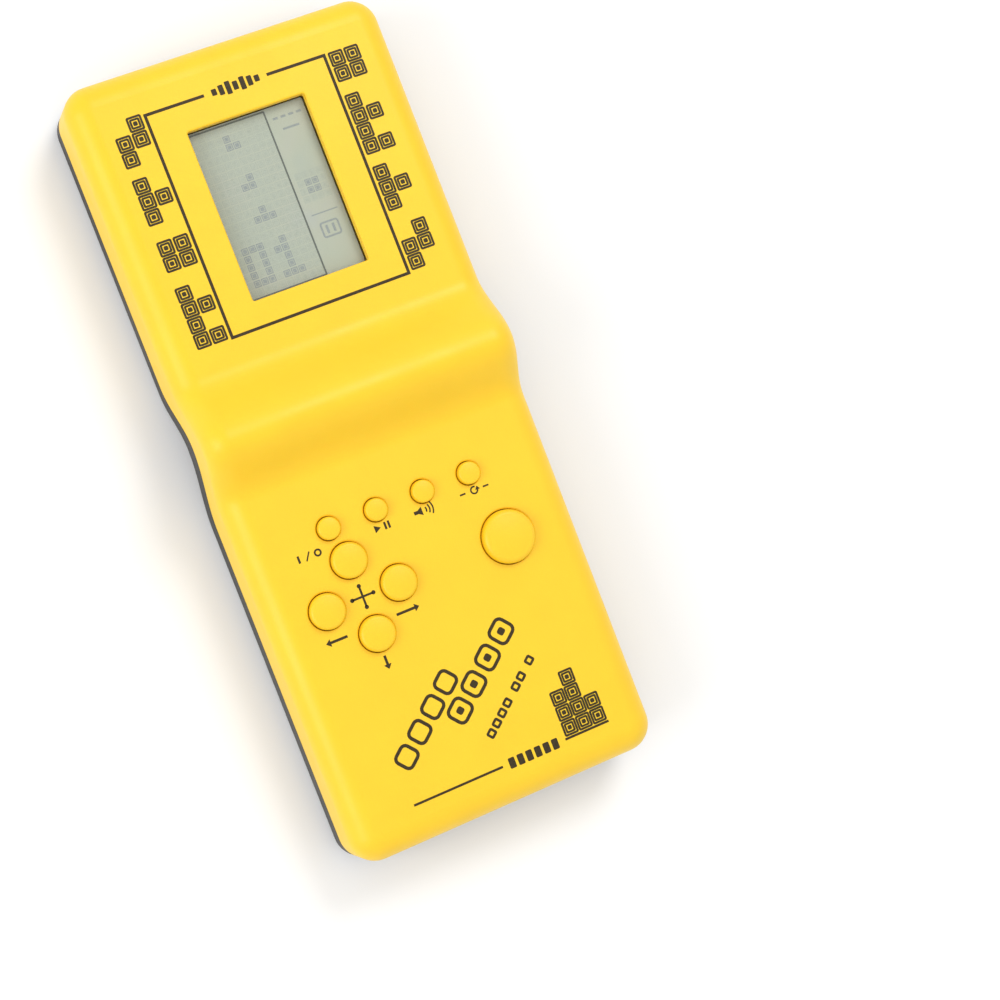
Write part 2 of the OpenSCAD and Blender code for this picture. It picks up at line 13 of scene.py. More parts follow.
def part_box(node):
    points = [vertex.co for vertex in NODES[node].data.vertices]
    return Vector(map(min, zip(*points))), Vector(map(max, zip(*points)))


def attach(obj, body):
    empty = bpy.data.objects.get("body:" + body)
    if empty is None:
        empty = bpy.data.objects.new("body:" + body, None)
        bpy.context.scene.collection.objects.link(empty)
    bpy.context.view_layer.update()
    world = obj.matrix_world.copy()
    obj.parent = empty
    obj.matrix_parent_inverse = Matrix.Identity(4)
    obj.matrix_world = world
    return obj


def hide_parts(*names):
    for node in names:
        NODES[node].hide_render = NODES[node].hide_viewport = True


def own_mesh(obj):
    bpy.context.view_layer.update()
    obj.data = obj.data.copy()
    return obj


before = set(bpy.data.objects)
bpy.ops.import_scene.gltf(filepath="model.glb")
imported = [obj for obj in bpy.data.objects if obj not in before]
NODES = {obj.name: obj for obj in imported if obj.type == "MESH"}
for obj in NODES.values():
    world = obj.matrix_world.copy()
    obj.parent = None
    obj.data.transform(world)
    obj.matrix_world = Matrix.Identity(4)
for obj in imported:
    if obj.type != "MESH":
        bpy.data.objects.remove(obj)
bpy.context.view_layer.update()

MM = 0.001


def span(node):
    """Lowest and highest corner of a CAD node, in millimetres."""
    low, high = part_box(node)
    return low / MM, high / MM


def middle(node):
    low, high = span(node)
    return (low + high) / 2


# Sizes that the frame gives
HALF_W, HALF_L, CREST_Z = span("front_shell")[1]
LENS_LOW, LENS_HIGH = span("display_lens")
GLASS_LOW, GLASS_HIGH = span("display_glass")
BOARD_TOP = span("main_board")[1].z
TONGUE_TOP_Z = span("battery_door")[1].z

# Sizes of the case that the frame's boxes can't give
FRONT_WALL = 2.2
REAR_WALL = 2.0
LENS_GAP = 0.05
SCREEN_Z = LENS_HIGH.z + FRONT_WALL + LENS_GAP
CORNER_R = 6.5
FRONT_EDGE_R = 6.0
REAR_EDGE_R = 3.0
WAVE_START_Y, WAVE_CREST_Y, WAVE_END_Y = 23.0, 7.3, -6.6
KEY_FACE_TOP_Z, KEY_FACE_END_Z = SCREEN_Z + 0.5, SCREEN_Z - 1.0
SEAM_START_Y, SEAM_CREST_Y, SEAM_END_Y = 25.0, 9.0, -10.0
SEAM_SCREEN_Z, SEAM_CREST_Z, SEAM_KEY_Z, SEAM_FOOT_Z = 7.4, 18.2, 8.4, 8.0
BACK_START_Y, BACK_CREST_Y, BACK_END_Y, BACK_RISE = 24.0, 9.5, -9.5, 9.2
SEAM_ROUND = 0.3
WINDOW_HALF_W, WINDOW_HALF_L, WINDOW_Y = 14.2, 20.1, (LENS_LOW.y + LENS_HIGH.y) / 2
FRONT_SHEET_L = 43.2

# Keys and their domes. Edge and crown are shares of the cap's radius.
HOLE_GAP = 0.2
KEY_EDGE, KEY_CROWN = 0.22, 0.07
FLANGE_RIM, FLANGE_T, FLANGE_GAP = 0.6, 1.2, 0.35
KEY_TRAVEL = 1.0
MAT_T, DOME_RIM, DOME_SKIN, PAD_T = 1.0, 0.4, 0.7, 0.06

# Screw bosses and holes, and how far a cutter runs past what it cuts
BOSS_MEET_Z, BOSS_GAP = 8.0, 0.1
SHELL_BOSS_R, BOARD_BOSS_R, REAR_BOSS_R = 2.6, 2.4, 3.5
SHELL_BOSS_DROP, BOARD_BOSS_DROP = 1.9, 1.5
SHELL_PILOT_R, SHELL_PILOT_L = 1.25, 9.0
BOARD_PILOT_R, BOARD_PILOT_L = 1.05, 6.0
HEAD_HOLE_R, HEAD_SEAT_Z, SHANK_HOLE_R = 2.6, 6.0, 1.4
OVER = 1.0

# Battery bay and its door
BAY_HALF_W, BAY_LOW_Y, BAY_HIGH_Y, BAY_WALL, BAY_JOIN = 28.45, -86.6, -57.0, 1.5, 0.5
BAY_CEILING, BAY_TOP = 17.5, 18.7
TAB_SLOT_HALF_W, TAB_SLOT_IN, TAB_SLOT_OUT = 1.6, 0.4, 0.6
NOTCH_HALF_W, NOTCH_LOW_Z, NOTCH_TOP_Z = 4.5, 1.0, 3.4
DOOR_HALF_W, DOOR_HIGH_Y, DOOR_GAP, DOOR_T = 27.0, -55.2, 0.15, 1.9
DOOR_SOFT = 0.2
PAST_FOOT = 6.0
RAIL_X, RAIL_HALF_W = 27.55, 0.6
RAIL_LOW_Y, RAIL_HIGH_Y, RAIL_LOW_Z = -88.0, -58.2, 1.0
GROOVE_HIGH_Y, GROOVE_LOW_Z = -57.9, 0.9
TONGUE_Y, TONGUE_W, TONGUE_L, TONGUE_JOIN = -55.9, 8.0, 4.2, 0.3
FLOOR_STEP_HALF_W, FLOOR_STEP_Y, FLOOR_STEP_Z = 5.0, -53.0, 2.1
GRIP_Y, GRIP_PITCH, GRIP_W, GRIP_L, GRIP_DEPTH, GRIP_COUNT = -63.5, 2.2, 18.0, 1.0, 0.5, 5
ARROW_HALF_W, ARROW_HIGH_Y, ARROW_LOW_Y, ARROW_DEPTH = 3.2, -76.2, -79.6, 0.35

# Speaker
SPEAKER_Y = middle("speaker_magnet").y
SPEAKER_R, SPEAKER_GAP, SPEAKER_RING_WALL, SPEAKER_RING_Z = 14.5, 0.3, 1.3, 7.0
GRILLE_HOLE_R, GRILLE_PITCH, GRILLE_RINGS = 0.9, 3.2, 3

SHELL_SCREWS = [(x, y) for x in (-32.7, 32.7) for y in (77, -13, -80)]
BOARD_SCREWS = [(x, y) for x in (-25, 25) for y in (80, 22)]
KEYS = ["power", "start", "sound", "reset", "up", "down", "left", "right", "action"]

# How finely the visible case is divided
CORNER_STEPS = 20
EDGE_STEPS = 12
WAVE_STEP = 0.5
WAVE_MARGIN_LOW, WAVE_MARGIN_HIGH = 3.0, 2.0
SHARP_ANGLE = math.radians(32)


# ---------------------------------------------------------------- the shape of the case

def ease(u):
    """0 to 1 along a half wave."""
    return (1 - math.cos(math.pi * min(max(u, 0), 1))) / 2


def wave(y, start_y, crest_y, end_y, start_z, top_z, end_z, foot_z):
    if y > crest_y:
        return start_z + (top_z - start_z) * ease((start_y - y) / (start_y - crest_y))
    if y > end_y:
        return top_z + (end_z - top_z) * ease((crest_y - y) / (crest_y - end_y))
    return end_z + (foot_z - end_z) * (end_y - y) / (end_y + HALF_L)


def front_z(y):
    return wave(y, WAVE_START_Y, WAVE_CREST_Y, WAVE_END_Y, SCREEN_Z, CREST_Z, KEY_FACE_TOP_Z, KEY_FACE_END_Z)


def seam_z(y):
    return wave(y, SEAM_START_Y, SEAM_CREST_Y, SEAM_END_Y,
                SEAM_SCREEN_Z, SEAM_CREST_Z, SEAM_KEY_Z, SEAM_FOOT_Z)


def back_z(y):
    return wave(y, BACK_START_Y, BACK_CREST_Y, BACK_END_Y, 0, BACK_RISE, 0, 0)


def outline(inset):
    """The case's outline from the front, moved inwards: its right side upwards, then its left side down."""
    r, cx, cy = CORNER_R - inset, HALF_W - CORNER_R, HALF_L - CORNER_R
    turn = [math.pi / 2 * i / CORNER_STEPS for i in range(CORNER_STEPS + 1)]
    low = [(cx + r * math.sin(a), -cy - r * math.cos(a)) for a in turn]
    high = [(cx + r * math.cos(a), cy + r * math.sin(a)) for a in turn]
    start = SEAM_END_Y - WAVE_MARGIN_LOW
    count = int((SEAM_START_Y + WAVE_MARGIN_HIGH - start) / WAVE_STEP)
    side = [(HALF_W - inset, start + i * WAVE_STEP) for i in range(count + 1)]
    half = low + side + high
    return half + [(-x, y) for x, y in reversed(half)]


def skin(levels):
    """A closed solid through levels (inset, height as a function of y), lowest first, capped by strips."""
    rings = [[(x, y, height(y)) for x, y in outline(inset)] for inset, height in levels]
    n = len(rings[0])
    verts = [p for ring in rings for p in ring]
    faces = [
        (k * n + i, k * n + (i + 1) % n, (k + 1) * n + (i + 1) % n, (k + 1) * n + i)
        for k in range(len(rings) - 1) for i in range(n)
    ]
    top = (len(rings) - 1) * n
    faces += [(i + 1, i, n - 1 - i, n - 2 - i) for i in range(n // 2 - 1)]
    faces += [(top + i, top + i + 1, top + n - 2 - i, top + n - 1 - i) for i in range(n // 2 - 1)]
    return verts, faces


def quarter(steps):
    return [math.pi / 2 * i / steps for i in range(steps + 1)]


def front_edge(inset, r, drop):
    return [
        (inset + r * (1 - math.cos(a)), lambda y, s=math.sin(a): front_z(y) - drop - r * (1 - s))
        for a in quarter(EDGE_STEPS)
    ]


def rear_edge(inset, r, floor_z):
    return [
        (inset + r * (1 - math.cos(a)), lambda y, s=math.sin(a): back_z(y) + floor_z + r * (1 - s))
        for a in reversed(quarter(EDGE_STEPS))
    ]


def seam_edge(side):
    """Small rounding at the seam. side is 1 above it and -1 below it."""
    levels = [
        (SEAM_ROUND * (1 - math.sin(a)), lambda y, c=math.cos(a): seam_z(y) + side * SEAM_ROUND * (1 - c))
        for a in quarter(4)
    ]
    return levels if side > 0 else levels[::-1]


# ---------------------------------------------------------------- solids

def loft(loops):
    """A closed solid through loops with equal counts, each anticlockwise from above, lowest first."""
    n = len(loops[0])
    verts = [p for loop in loops for p in loop]
    faces = [
        (k * n + i, k * n + (i + 1) % n, (k + 1) * n + (i + 1) % n, (k + 1) * n + i)
        for k in range(len(loops) - 1) for i in range(n)
    ]
    faces.append(tuple(reversed(range(n))))
    faces.append(tuple((len(loops) - 1) * n + i for i in range(n)))
    return verts, faces


def lathe(x, y, profile, steps=96):
    """A solid of revolution about Z. Its profile starts and ends on the axis, lowest first."""
    inner = [p for p in profile if p[0] > 0]
    verts = [
        (x + r * math.cos(a), y + r * math.sin(a), z)
        for r, z in inner for a in (2 * math.pi * i / steps for i in range(steps))
    ]
    m = len(inner)
    faces = [
        (k * steps + i, k * steps + (i + 1) % steps, (k + 1) * steps + (i + 1) % steps, (k + 1) * steps + i)
        for k in range(m - 1) for i in range(steps)
    ]
    low, high = len(verts), len(verts) + 1
    verts += [(x, y, profile[0][1]), (x, y, profile[-1][1])]
    faces += [(low, (i + 1) % steps, i) for i in range(steps)]
    faces += [(high, (m - 1) * steps + i, (m - 1) * steps + (i + 1) % steps) for i in range(steps)]
    return verts, faces


def rod(x, y, low, high, r, steps=48):
    return lathe(x, y, [(0, low), (r, low), (r, high), (0, high)], steps)


def rounded(cx, cy, w, h, r, angle=0.0, steps=5):
    """Loop of a rounded rectangle, turned by angle about its middle."""
    points = []
    for sx, sy, start in ((1, -1, -90), (1, 1, 0), (-1, 1, 90), (-1, -1, 180)):
        for i in range(steps + 1):
            a = math.radians(start + 90 * i / steps)
            px = sx * (w / 2 - r) + r * math.cos(a)
            py = sy * (h / 2 - r) + r * math.sin(a)
            points.append((px, py))
    c, s = math.cos(angle), math.sin(angle)
    return [(cx + px * c - py * s, cy + px * s + py * c) for px, py in points]


def slab(cx, cy, w, h, r, heights):
    """A rounded box through (height, growth) pairs, lowest first."""
    loops = []
    for z, growth in heights:
        loop = rounded(cx, cy, w + 2 * growth, h + 2 * growth, max(r + growth, 0.05))
        loops.append([(x, y, z) for x, y in loop])
    return loft(loops)


def box(low, high):
    (x0, y0, z0), (x1, y1, z1) = low, high
    return loft([[(x0, y0, z), (x1, y0, z), (x1, y1, z), (x0, y1, z)] for z in (z0, z1)])


def solid(name, shape):
    """A mesh object from millimetre points."""
    verts, faces = shape
    mesh = bpy.data.meshes.new(name)
    mesh.from_pydata([Vector(v) * MM for v in verts], [], faces)
    mesh.update()
    made = bpy.data.objects.new(name, mesh)
    bpy.context.scene.collection.objects.link(made)
    return made


def settle(target):
    """Replaces an object's mesh by what its modifiers make of it."""
    mesh = bpy.data.meshes.new_from_object(target.evaluated_get(bpy.context.evaluated_depsgraph_get()))
    old = target.data
    target.modifiers.clear()
    target.data = mesh
    mesh.name = target.name
    bpy.data.meshes.remove(old)


def combine(target, shapes, operation):
    """Cuts, joins or intersects a mesh with several solids, one after another."""
    tools = [solid(f"{target.name}_tool", shape) for shape in shapes]
    for tool in tools:
        step = target.modifiers.new("solid", "BOOLEAN")
        step.operation = operation
        step.solver = "MANIFOLD"
        step.object = tool
    settle(target)
    for tool in tools:
        mesh = tool.data
        bpy.data.objects.remove(tool)
        bpy.data.meshes.remove(mesh)


def tidy(target):
    """Merges doubled points, turns faces outwards and shades smooth up to the sharp angle."""
    work = bmesh.new()
    work.from_mesh(target.data)
    bmesh.ops.remove_doubles(work, verts=work.verts, dist=0.002 * MM)
    bmesh.ops.dissolve_degenerate(work, edges=work.edges, dist=0.001 * MM)
    bmesh.ops.recalc_face_normals(work, faces=work.faces)
    work.to_mesh(target.data)
    work.free()
    target.data.polygons.foreach_set("use_smooth", [True] * len(target.data.polygons))
    target.data.set_sharp_from_angle(angle=SHARP_ANGLE)
    target.data.update()


def place(target, body, material, slot, *nodes, weighted=True):
    """Finishes a piece: shading, material, body and the CAD nodes that it stands for. Its slot is not used.
    """
    tidy(target)
    if weighted:
        even = target.modifiers.new("even_normals", "WEIGHTED_NORMAL")
        even.keep_sharp = True
        even.weight = 80
    target.data.materials.clear()
    target.data.materials.append(material)
    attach(target, body)
    if nodes:
        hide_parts(*nodes)


# ---------------------------------------------------------------- materials

class Look:
    """A material with a Principled shader and short ways to add nodes to it."""

    def __init__(self, name):
        self.material = bpy.data.materials.new(name)
        self.material.use_nodes = True
        self.tree = self.material.node_tree
        self.tree.nodes.clear()
        self.output = self.tree.nodes.new("ShaderNodeOutputMaterial")
        self.shader = self.tree.nodes.new("ShaderNodeBsdfPrincipled")
        self.tree.links.new(self.shader.outputs[0], self.output.inputs["Surface"])
        self.place = self.tree.nodes.new("ShaderNodeTexCoord").outputs["Object"]

    def set(self, **values):
        for name, value in values.items():
            self.shader.inputs[name.replace("_", " ")].default_value = value
        return self

    def link(self, source, name):
        self.tree.links.new(source, self.shader.inputs[name])
        return self

    def noise(self, size_mm, detail=3.0, stretch=None, roughness=0.5):
        """Noise whose lumps are about size_mm across."""
        node = self.tree.nodes.new("ShaderNodeTexNoise")
        node.inputs["Scale"].default_value = 1 / (size_mm * MM)
        node.inputs["Detail"].default_value = detail
        node.inputs["Roughness"].default_value = roughness
        self.tree.links.new(self.stretched(stretch), node.inputs["Vector"])
        return node.outputs["Fac"]

    def cell_edges(self, size_mm):
        """Distance to the nearest edge between cells about size_mm across."""
        node = self.tree.nodes.new("ShaderNodeTexVoronoi")
        node.feature = "DISTANCE_TO_EDGE"
        node.inputs["Scale"].default_value = 1 / (size_mm * MM)
        self.tree.links.new(self.place, node.inputs["Vector"])
        return node.outputs["Distance"]

    def stretched(self, stretch):
        if stretch is None:
            return self.place
        node = self.tree.nodes.new("ShaderNodeMapping")
        node.inputs["Scale"].default_value = stretch
        self.tree.links.new(self.place, node.inputs["Vector"])
        return node.outputs["Vector"]

    def ramp(self, source, stops):
        """Colours by value: stops are (position, colour)."""
        node = self.tree.nodes.new("ShaderNodeValToRGB")
        marks = node.color_ramp.elements
        while len(marks) < len(stops):
            marks.new(0.5)
        for mark, (at, colour) in zip(marks, stops):
            mark.position = at
            mark.color = (*colour, 1)
        self.tree.links.new(source, node.inputs["Fac"])
        return node.outputs["Color"]

    def spread(self, source, low, high, start=0.3, end=0.7):
        """Maps a value between start and end to low and high."""
        node = self.tree.nodes.new("ShaderNodeMapRange")
        for name, value in (("From Min", start), ("From Max", end), ("To Min", low), ("To Max", high)):
            node.inputs[name].default_value = value
        self.tree.links.new(source, node.inputs["Value"])
        return node.outputs["Result"]

    def mix(self, amount, first, second):
        """Mixes two colours, each a socket or a plain colour."""
        node = self.tree.nodes.new("ShaderNodeMix")
        node.data_type = "RGBA"
        for value, socket in ((amount, node.inputs[0]), (first, node.inputs[6]), (second, node.inputs[7])):
            if hasattr(value, "node"):
                self.tree.links.new(value, socket)
            else:
                socket.default_value = value if isinstance(value, float) else (*value, 1)
        return node.outputs[2]

    def bump(self, height, depth_mm, strength=1.0, under=None):
        node = self.tree.nodes.new("ShaderNodeBump")
        node.inputs["Strength"].default_value = strength
        node.inputs["Distance"].default_value = depth_mm * MM
        self.tree.links.new(height, node.inputs["Height"])
        if under is not None:
            self.tree.links.new(under, node.inputs["Normal"])
        return node.outputs["Normal"]


def shade(colour, factor):
    return tuple(min(c * factor, 1.0) for c in colour)


def moulded(name, colour, rough, grain_mm, depth_mm, tint=0.05, ior=1.5):
    """Moulded plastic: spark texture from the mould, a little mottling and faint handling marks."""
    look = Look(name)
    mottle = look.noise(9, 4)
    shades = [(0.3, shade(colour, 1 - tint)), (0.7, shade(colour, 1 + tint))]
    look.link(look.ramp(mottle, shades), "Base Color")
    rubbed = look.noise(14, 5, stretch=(1, 0.35, 1), roughness=0.65)
    look.link(look.spread(rubbed, rough - 0.06, rough + 0.07), "Roughness")
    grain = look.bump(look.noise(grain_mm, 2), depth_mm)
    look.link(look.bump(look.noise(30, 1), depth_mm * 4, 0.5, grain), "Normal")
    return look.set(IOR=ior)


def case_yellow(name, colour):
    look = moulded(name, colour, 0.42, 0.3, 0.011, 0.018, 1.47)
    return look.set(Subsurface_Weight=0.08, Subsurface_Scale=0.001).material


def ink():
    """Pad-printed ink: slightly uneven cover and a soft gloss."""
    look = Look("printed_ink")
    cover = look.ramp(look.noise(0.6, 4), [(0.3, (0.028, 0.018, 0.005)), (0.75, (0.052, 0.034, 0.009))])
    look.link(cover, "Base Color")
    look.link(look.spread(look.noise(1.5, 3), 0.42, 0.58), "Roughness")
    look.link(look.bump(look.noise(0.15, 2), 0.004), "Normal")
    return look.set(IOR=1.36).material


def polariser():
    """The display's front film: grey green, with faint cool and warm clouds."""
    look = Look("display_film")
    cloud = look.ramp(look.noise(11, 2), [
        (0.25, (0.42, 0.46, 0.4)), (0.45, (0.48, 0.5, 0.39)),
        (0.6, (0.51, 0.5, 0.4)), (0.8, (0.47, 0.47, 0.48))])
    grain = look.ramp(look.noise(0.12, 2), [(0.2, (0.43, 0.44, 0.36)), (0.8, (0.56, 0.57, 0.48))])
    look.link(look.mix(0.5, cloud, grain), "Base Color")
    look.link(look.spread(look.noise(6, 2), 0.28, 0.36), "Roughness")
    look.link(look.bump(look.noise(0.08, 1), 0.002), "Normal")
    return look.set(IOR=1.5).material


def display_mark(name, colour):
    look = Look(name)
    shades = [(0.3, shade(colour, 0.93)), (0.7, shade(colour, 1.07))]
    look.link(look.ramp(look.noise(0.5, 3), shades), "Base Color")
    look.link(look.spread(look.noise(3, 2), 0.3, 0.4), "Roughness")
    return look.material


def clear_window():
    """Acrylic window: it shows what is behind it, and mirrors the room by angle."""
    look = Look("window_acrylic")
    tree = look.tree
    tree.nodes.remove(look.shader)
    clear = tree.nodes.new("ShaderNodeBsdfTransparent")
    clear.inputs["Color"].default_value = (0.95, 0.965, 0.955, 1)
    gloss = tree.nodes.new("ShaderNodeBsdfGlossy")
    gloss.inputs["Color"].default_value = (1, 1, 1, 1)
    tree.links.new(look.spread(look.noise(20, 4, stretch=(1, 0.3, 1)), 0.04, 0.12), gloss.inputs["Roughness"])
    tree.links.new(look.bump(look.noise(25, 1), 0.02), gloss.inputs["Normal"])
    angle = tree.nodes.new("ShaderNodeLayerWeight")
    steep = tree.nodes.new("ShaderNodeMath")
    steep.operation = "POWER"
    steep.inputs[1].default_value = 5
    tree.links.new(angle.outputs["Facing"], steep.inputs[0])
    mixed = tree.nodes.new("ShaderNodeMixShader")
    tree.links.new(look.spread(steep.outputs[0], 0.04, 0.8, 0, 1), mixed.inputs[0])
    tree.links.new(clear.outputs[0], mixed.inputs[1])
    tree.links.new(gloss.outputs[0], mixed.inputs[2])
    tree.links.new(mixed.outputs[0], look.output.inputs["Surface"])
    return look.material


def rubber(name, colour):
    look = moulded(name, colour, 0.62, 0.2, 0.01, 0.05, 1.42)
    return look.set(Subsurface_Weight=0.1, Subsurface_Scale=0.0015).material


def board():
    """Phenolic board: fibres and copper tracks under lacquer."""
    look = Look("phenolic_board")
    fibres = look.noise(2.5, 5, stretch=(1, 6, 1))
    base = look.ramp(fibres, [(0.3, (0.2, 0.11, 0.035)), (0.7, (0.3, 0.18, 0.06))])
    lines = look.ramp(look.cell_edges(3.4), [(0.1, (1, 1, 1)), (0.14, (0, 0, 0))])
    look.link(look.mix(lines, base, (0.34, 0.24, 0.07)), "Base Color")
    look.link(look.spread(look.noise(1, 3), 0.3, 0.45), "Roughness")
    look.link(look.bump(lines, 0.03), "Normal")
    return look.material


def metal(name, colour, rough, stretch):
    """Drawn or rolled metal with fine marks along its length."""
    look = Look(name)
    marks = look.noise(0.25, 3, stretch=stretch)
    look.link(look.ramp(marks, [(0.3, shade(colour, 0.86)), (0.7, shade(colour, 1.1))]), "Base Color")
    look.link(look.spread(look.noise(1.2, 4), rough - 0.07, rough + 0.1), "Roughness")
    look.link(look.bump(marks, 0.004), "Normal")
    return look.set(Metallic=1.0).material


def glossy(name, colour, rough=0.3, size=1.2):
    """Varnish, enamel or epoxy: smooth with slow waves."""
    look = Look(name)
    shades = [(0.3, shade(colour, 0.85)), (0.7, shade(colour, 1.15))]
    look.link(look.ramp(look.noise(size, 4), shades), "Base Color")
    look.link(look.spread(look.noise(size * 2, 3), rough - 0.07, rough + 0.09), "Roughness")
    look.link(look.bump(look.noise(size, 2), 0.02), "Normal")
    return look.set(IOR=1.52).material


def paper(name, colour):
    look = Look(name)
    shades = [(0.3, shade(colour, 0.8)), (0.7, shade(colour, 1.15))]
    look.link(look.ramp(look.noise(0.7, 6), shades), "Base Color")
    look.link(look.spread(look.noise(0.5, 4), 0.7, 0.9), "Roughness")
    look.link(look.bump(look.noise(0.2, 5), 0.04), "Normal")
    return look.material


def cell_wrap():
    """Printed film of a plain cell: a green body with a pale band, in stripes along the cell."""
    look = Look("cell_wrap")
    axis = look.tree.nodes.new("ShaderNodeSeparateXYZ")
    look.tree.links.new(look.place, axis.inputs[0])
    green, pale, dark = (0.03, 0.17, 0.08), (0.62, 0.6, 0.5), (0.02, 0.06, 0.035)
    along = look.spread(axis.outputs["X"], 0, 1, -0.025, 0.025)
    stripes = look.ramp(along, [
        (0.0, green), (0.24, pale), (0.27, green), (0.72, pale), (0.745, dark), (0.9, pale), (0.93, dark)])
    stripes.node.color_ramp.interpolation = "CONSTANT"
    specks = look.ramp(look.noise(0.8, 3), [(0.3, (0.1, 0.1, 0.1)), (0.7, (1, 1, 1))])
    look.link(look.mix(0.035, stripes, specks), "Base Color")
    look.link(look.spread(look.noise(5, 3), 0.2, 0.32), "Roughness")
    look.link(look.bump(look.noise(4, 2), 0.03), "Normal")
    return look.set(Coat_Weight=0.4, Coat_Roughness=0.15).material


YELLOW = case_yellow("case_yellow", (0.9, 0.57, 0.016))
KEY_YELLOW = case_yellow("key_yellow", (0.9, 0.565, 0.015))
BLACK = moulded("case_black", (0.012, 0.012, 0.013), 0.5, 0.22, 0.012, 0.12).material
INK = ink()
FILM = polariser()
WINDOW = clear_window()
RUBBER = rubber("key_rubber", (0.6, 0.59, 0.53))
STEEL = metal("plated_steel", (0.66, 0.65, 0.61), 0.28, (1, 8, 1))
CELL_WRAP = cell_wrap()


# ---------------------------------------------------------------- the case

def flared_hole(x, y, r, face, depth=4.0, flare=0.35):
    """Cutter for a round hole with a rounded rim at height face."""
    rim = [(r + flare * (1 - math.cos(a)), face - flare + flare * math.sin(a)) for a in quarter(5)]
    low, high = face - depth, face + 12
    return lathe(x, y, [(0, low), (r, low), *rim, (r + flare, high), (0, high)], 96)


def back_hole(x, y, r, depth, flare=0.25, steps=48):
    """Cutter for a round hole into the back, with a rounded rim at z = 0."""
    rim = [(r + flare * (1 - math.sin(a)), flare * (1 - math.cos(a))) for a in quarter(4)]
    return lathe(x, y, [(0, -2), (r + flare, -2), *rim, (r, depth), (0, depth)], steps)


def key_shape(name):
    """Centre, cap radius, foot and top of a key, from its CAD node."""
    low, high = span(f"key_{name}")
    return (low.x + high.x) / 2, (low.y + high.y) / 2, (high.x - low.x) / 2 - FLANGE_RIM, low.z, high.z


def front_shell():
    shell = solid("yellow_front_shell", skin(seam_edge(1) + front_edge(0, FRONT_EDGE_R, 0)))
    under_face = front_edge(FRONT_WALL, FRONT_EDGE_R - FRONT_WALL, FRONT_WALL)
    combine(shell, [skin([(FRONT_WALL, lambda y: seam_z(y) - 3)] + under_face)], "DIFFERENCE")
    bosses = [rod(x, y, BOSS_MEET_Z, front_z(y) - SHELL_BOSS_DROP, SHELL_BOSS_R) for x, y in SHELL_SCREWS]
    bosses += [rod(x, y, BOARD_TOP, front_z(y) - BOARD_BOSS_DROP, BOARD_BOSS_R) for x, y in BOARD_SCREWS]
    combine(shell, bosses, "UNION")
    soft = 0.45
    rim = [(SCREEN_Z - soft + soft * math.sin(a), soft * (1 - math.cos(a))) for a in quarter(5)]
    window = slab(0, WINDOW_Y, 2 * WINDOW_HALF_W, 2 * WINDOW_HALF_L, 0.5,
                  [(SCREEN_Z - 4, 0), *rim, (SCREEN_Z + 2, soft)])
    holes = []
    for key in KEYS:
        x, y, r, _, _ = key_shape(key)
        holes.append(flared_hole(x, y, r + HOLE_GAP, front_z(y)))
    pilots = [rod(x, y, BOSS_MEET_Z - OVER, BOSS_MEET_Z + SHELL_PILOT_L, SHELL_PILOT_R)
              for x, y in SHELL_SCREWS]
    pilots += [rod(x, y, BOARD_TOP - OVER, BOARD_TOP + BOARD_PILOT_L, BOARD_PILOT_R)
               for x, y in BOARD_SCREWS]
    combine(shell, [window] + holes + pilots, "DIFFERENCE")
    place(shell, "case", YELLOW, "yellow_case", "front_shell")


def grille_holes():
    """Cutters for rings of small sound holes in front of the speaker."""
    spots = [(0.0, SPEAKER_Y)]
    for ring in range(1, GRILLE_RINGS + 1):
        for i in range(6 * ring):
            a = math.radians(60 * i / ring)
            spots.append((GRILLE_PITCH * ring * math.cos(a), SPEAKER_Y + GRILLE_PITCH * ring * math.sin(a)))
    return [back_hole(x, y, GRILLE_HOLE_R, REAR_WALL + OVER, 0.2, 24) for x, y in spots]


def bay_cutters():
    """Cutters for the battery bay, its tab slots, the notch for the tongue and the door's opening."""
    bay = box((-BAY_HALF_W, BAY_LOW_Y, REAR_WALL - OVER), (BAY_HALF_W, BAY_HIGH_Y, BAY_CEILING))
    tab = middle("contact_plus").x
    slots = [box((tab - TAB_SLOT_IN, y - TAB_SLOT_HALF_W, BAY_CEILING - OVER),
                 (tab + TAB_SLOT_OUT, y + TAB_SLOT_HALF_W, BAY_TOP + OVER))
             for y in (middle("battery_cell_1").y, middle("battery_cell_2").y)]
    notch = box((-NOTCH_HALF_W, BAY_HIGH_Y - OVER, NOTCH_LOW_Z),
                (NOTCH_HALF_W, BAY_HIGH_Y + BAY_WALL + OVER, NOTCH_TOP_Z))
    edge = DOOR_HIGH_Y + DOOR_GAP
    top = DOOR_T + DOOR_GAP
    long = edge + HALF_L + PAST_FOOT
    opening = slab(0, edge - long / 2, 2 * (DOOR_HALF_W + DOOR_GAP), long, 1.0,
                   [(-OVER, DOOR_SOFT), (0, DOOR_SOFT), (DOOR_SOFT, 0), (top, 0)])
    groove = box((-BAY_HALF_W, -HALF_L - OVER, GROOVE_LOW_Z), (BAY_HALF_W, GROOVE_HIGH_Y, top))
    return [bay, *slots, notch, opening, groove]


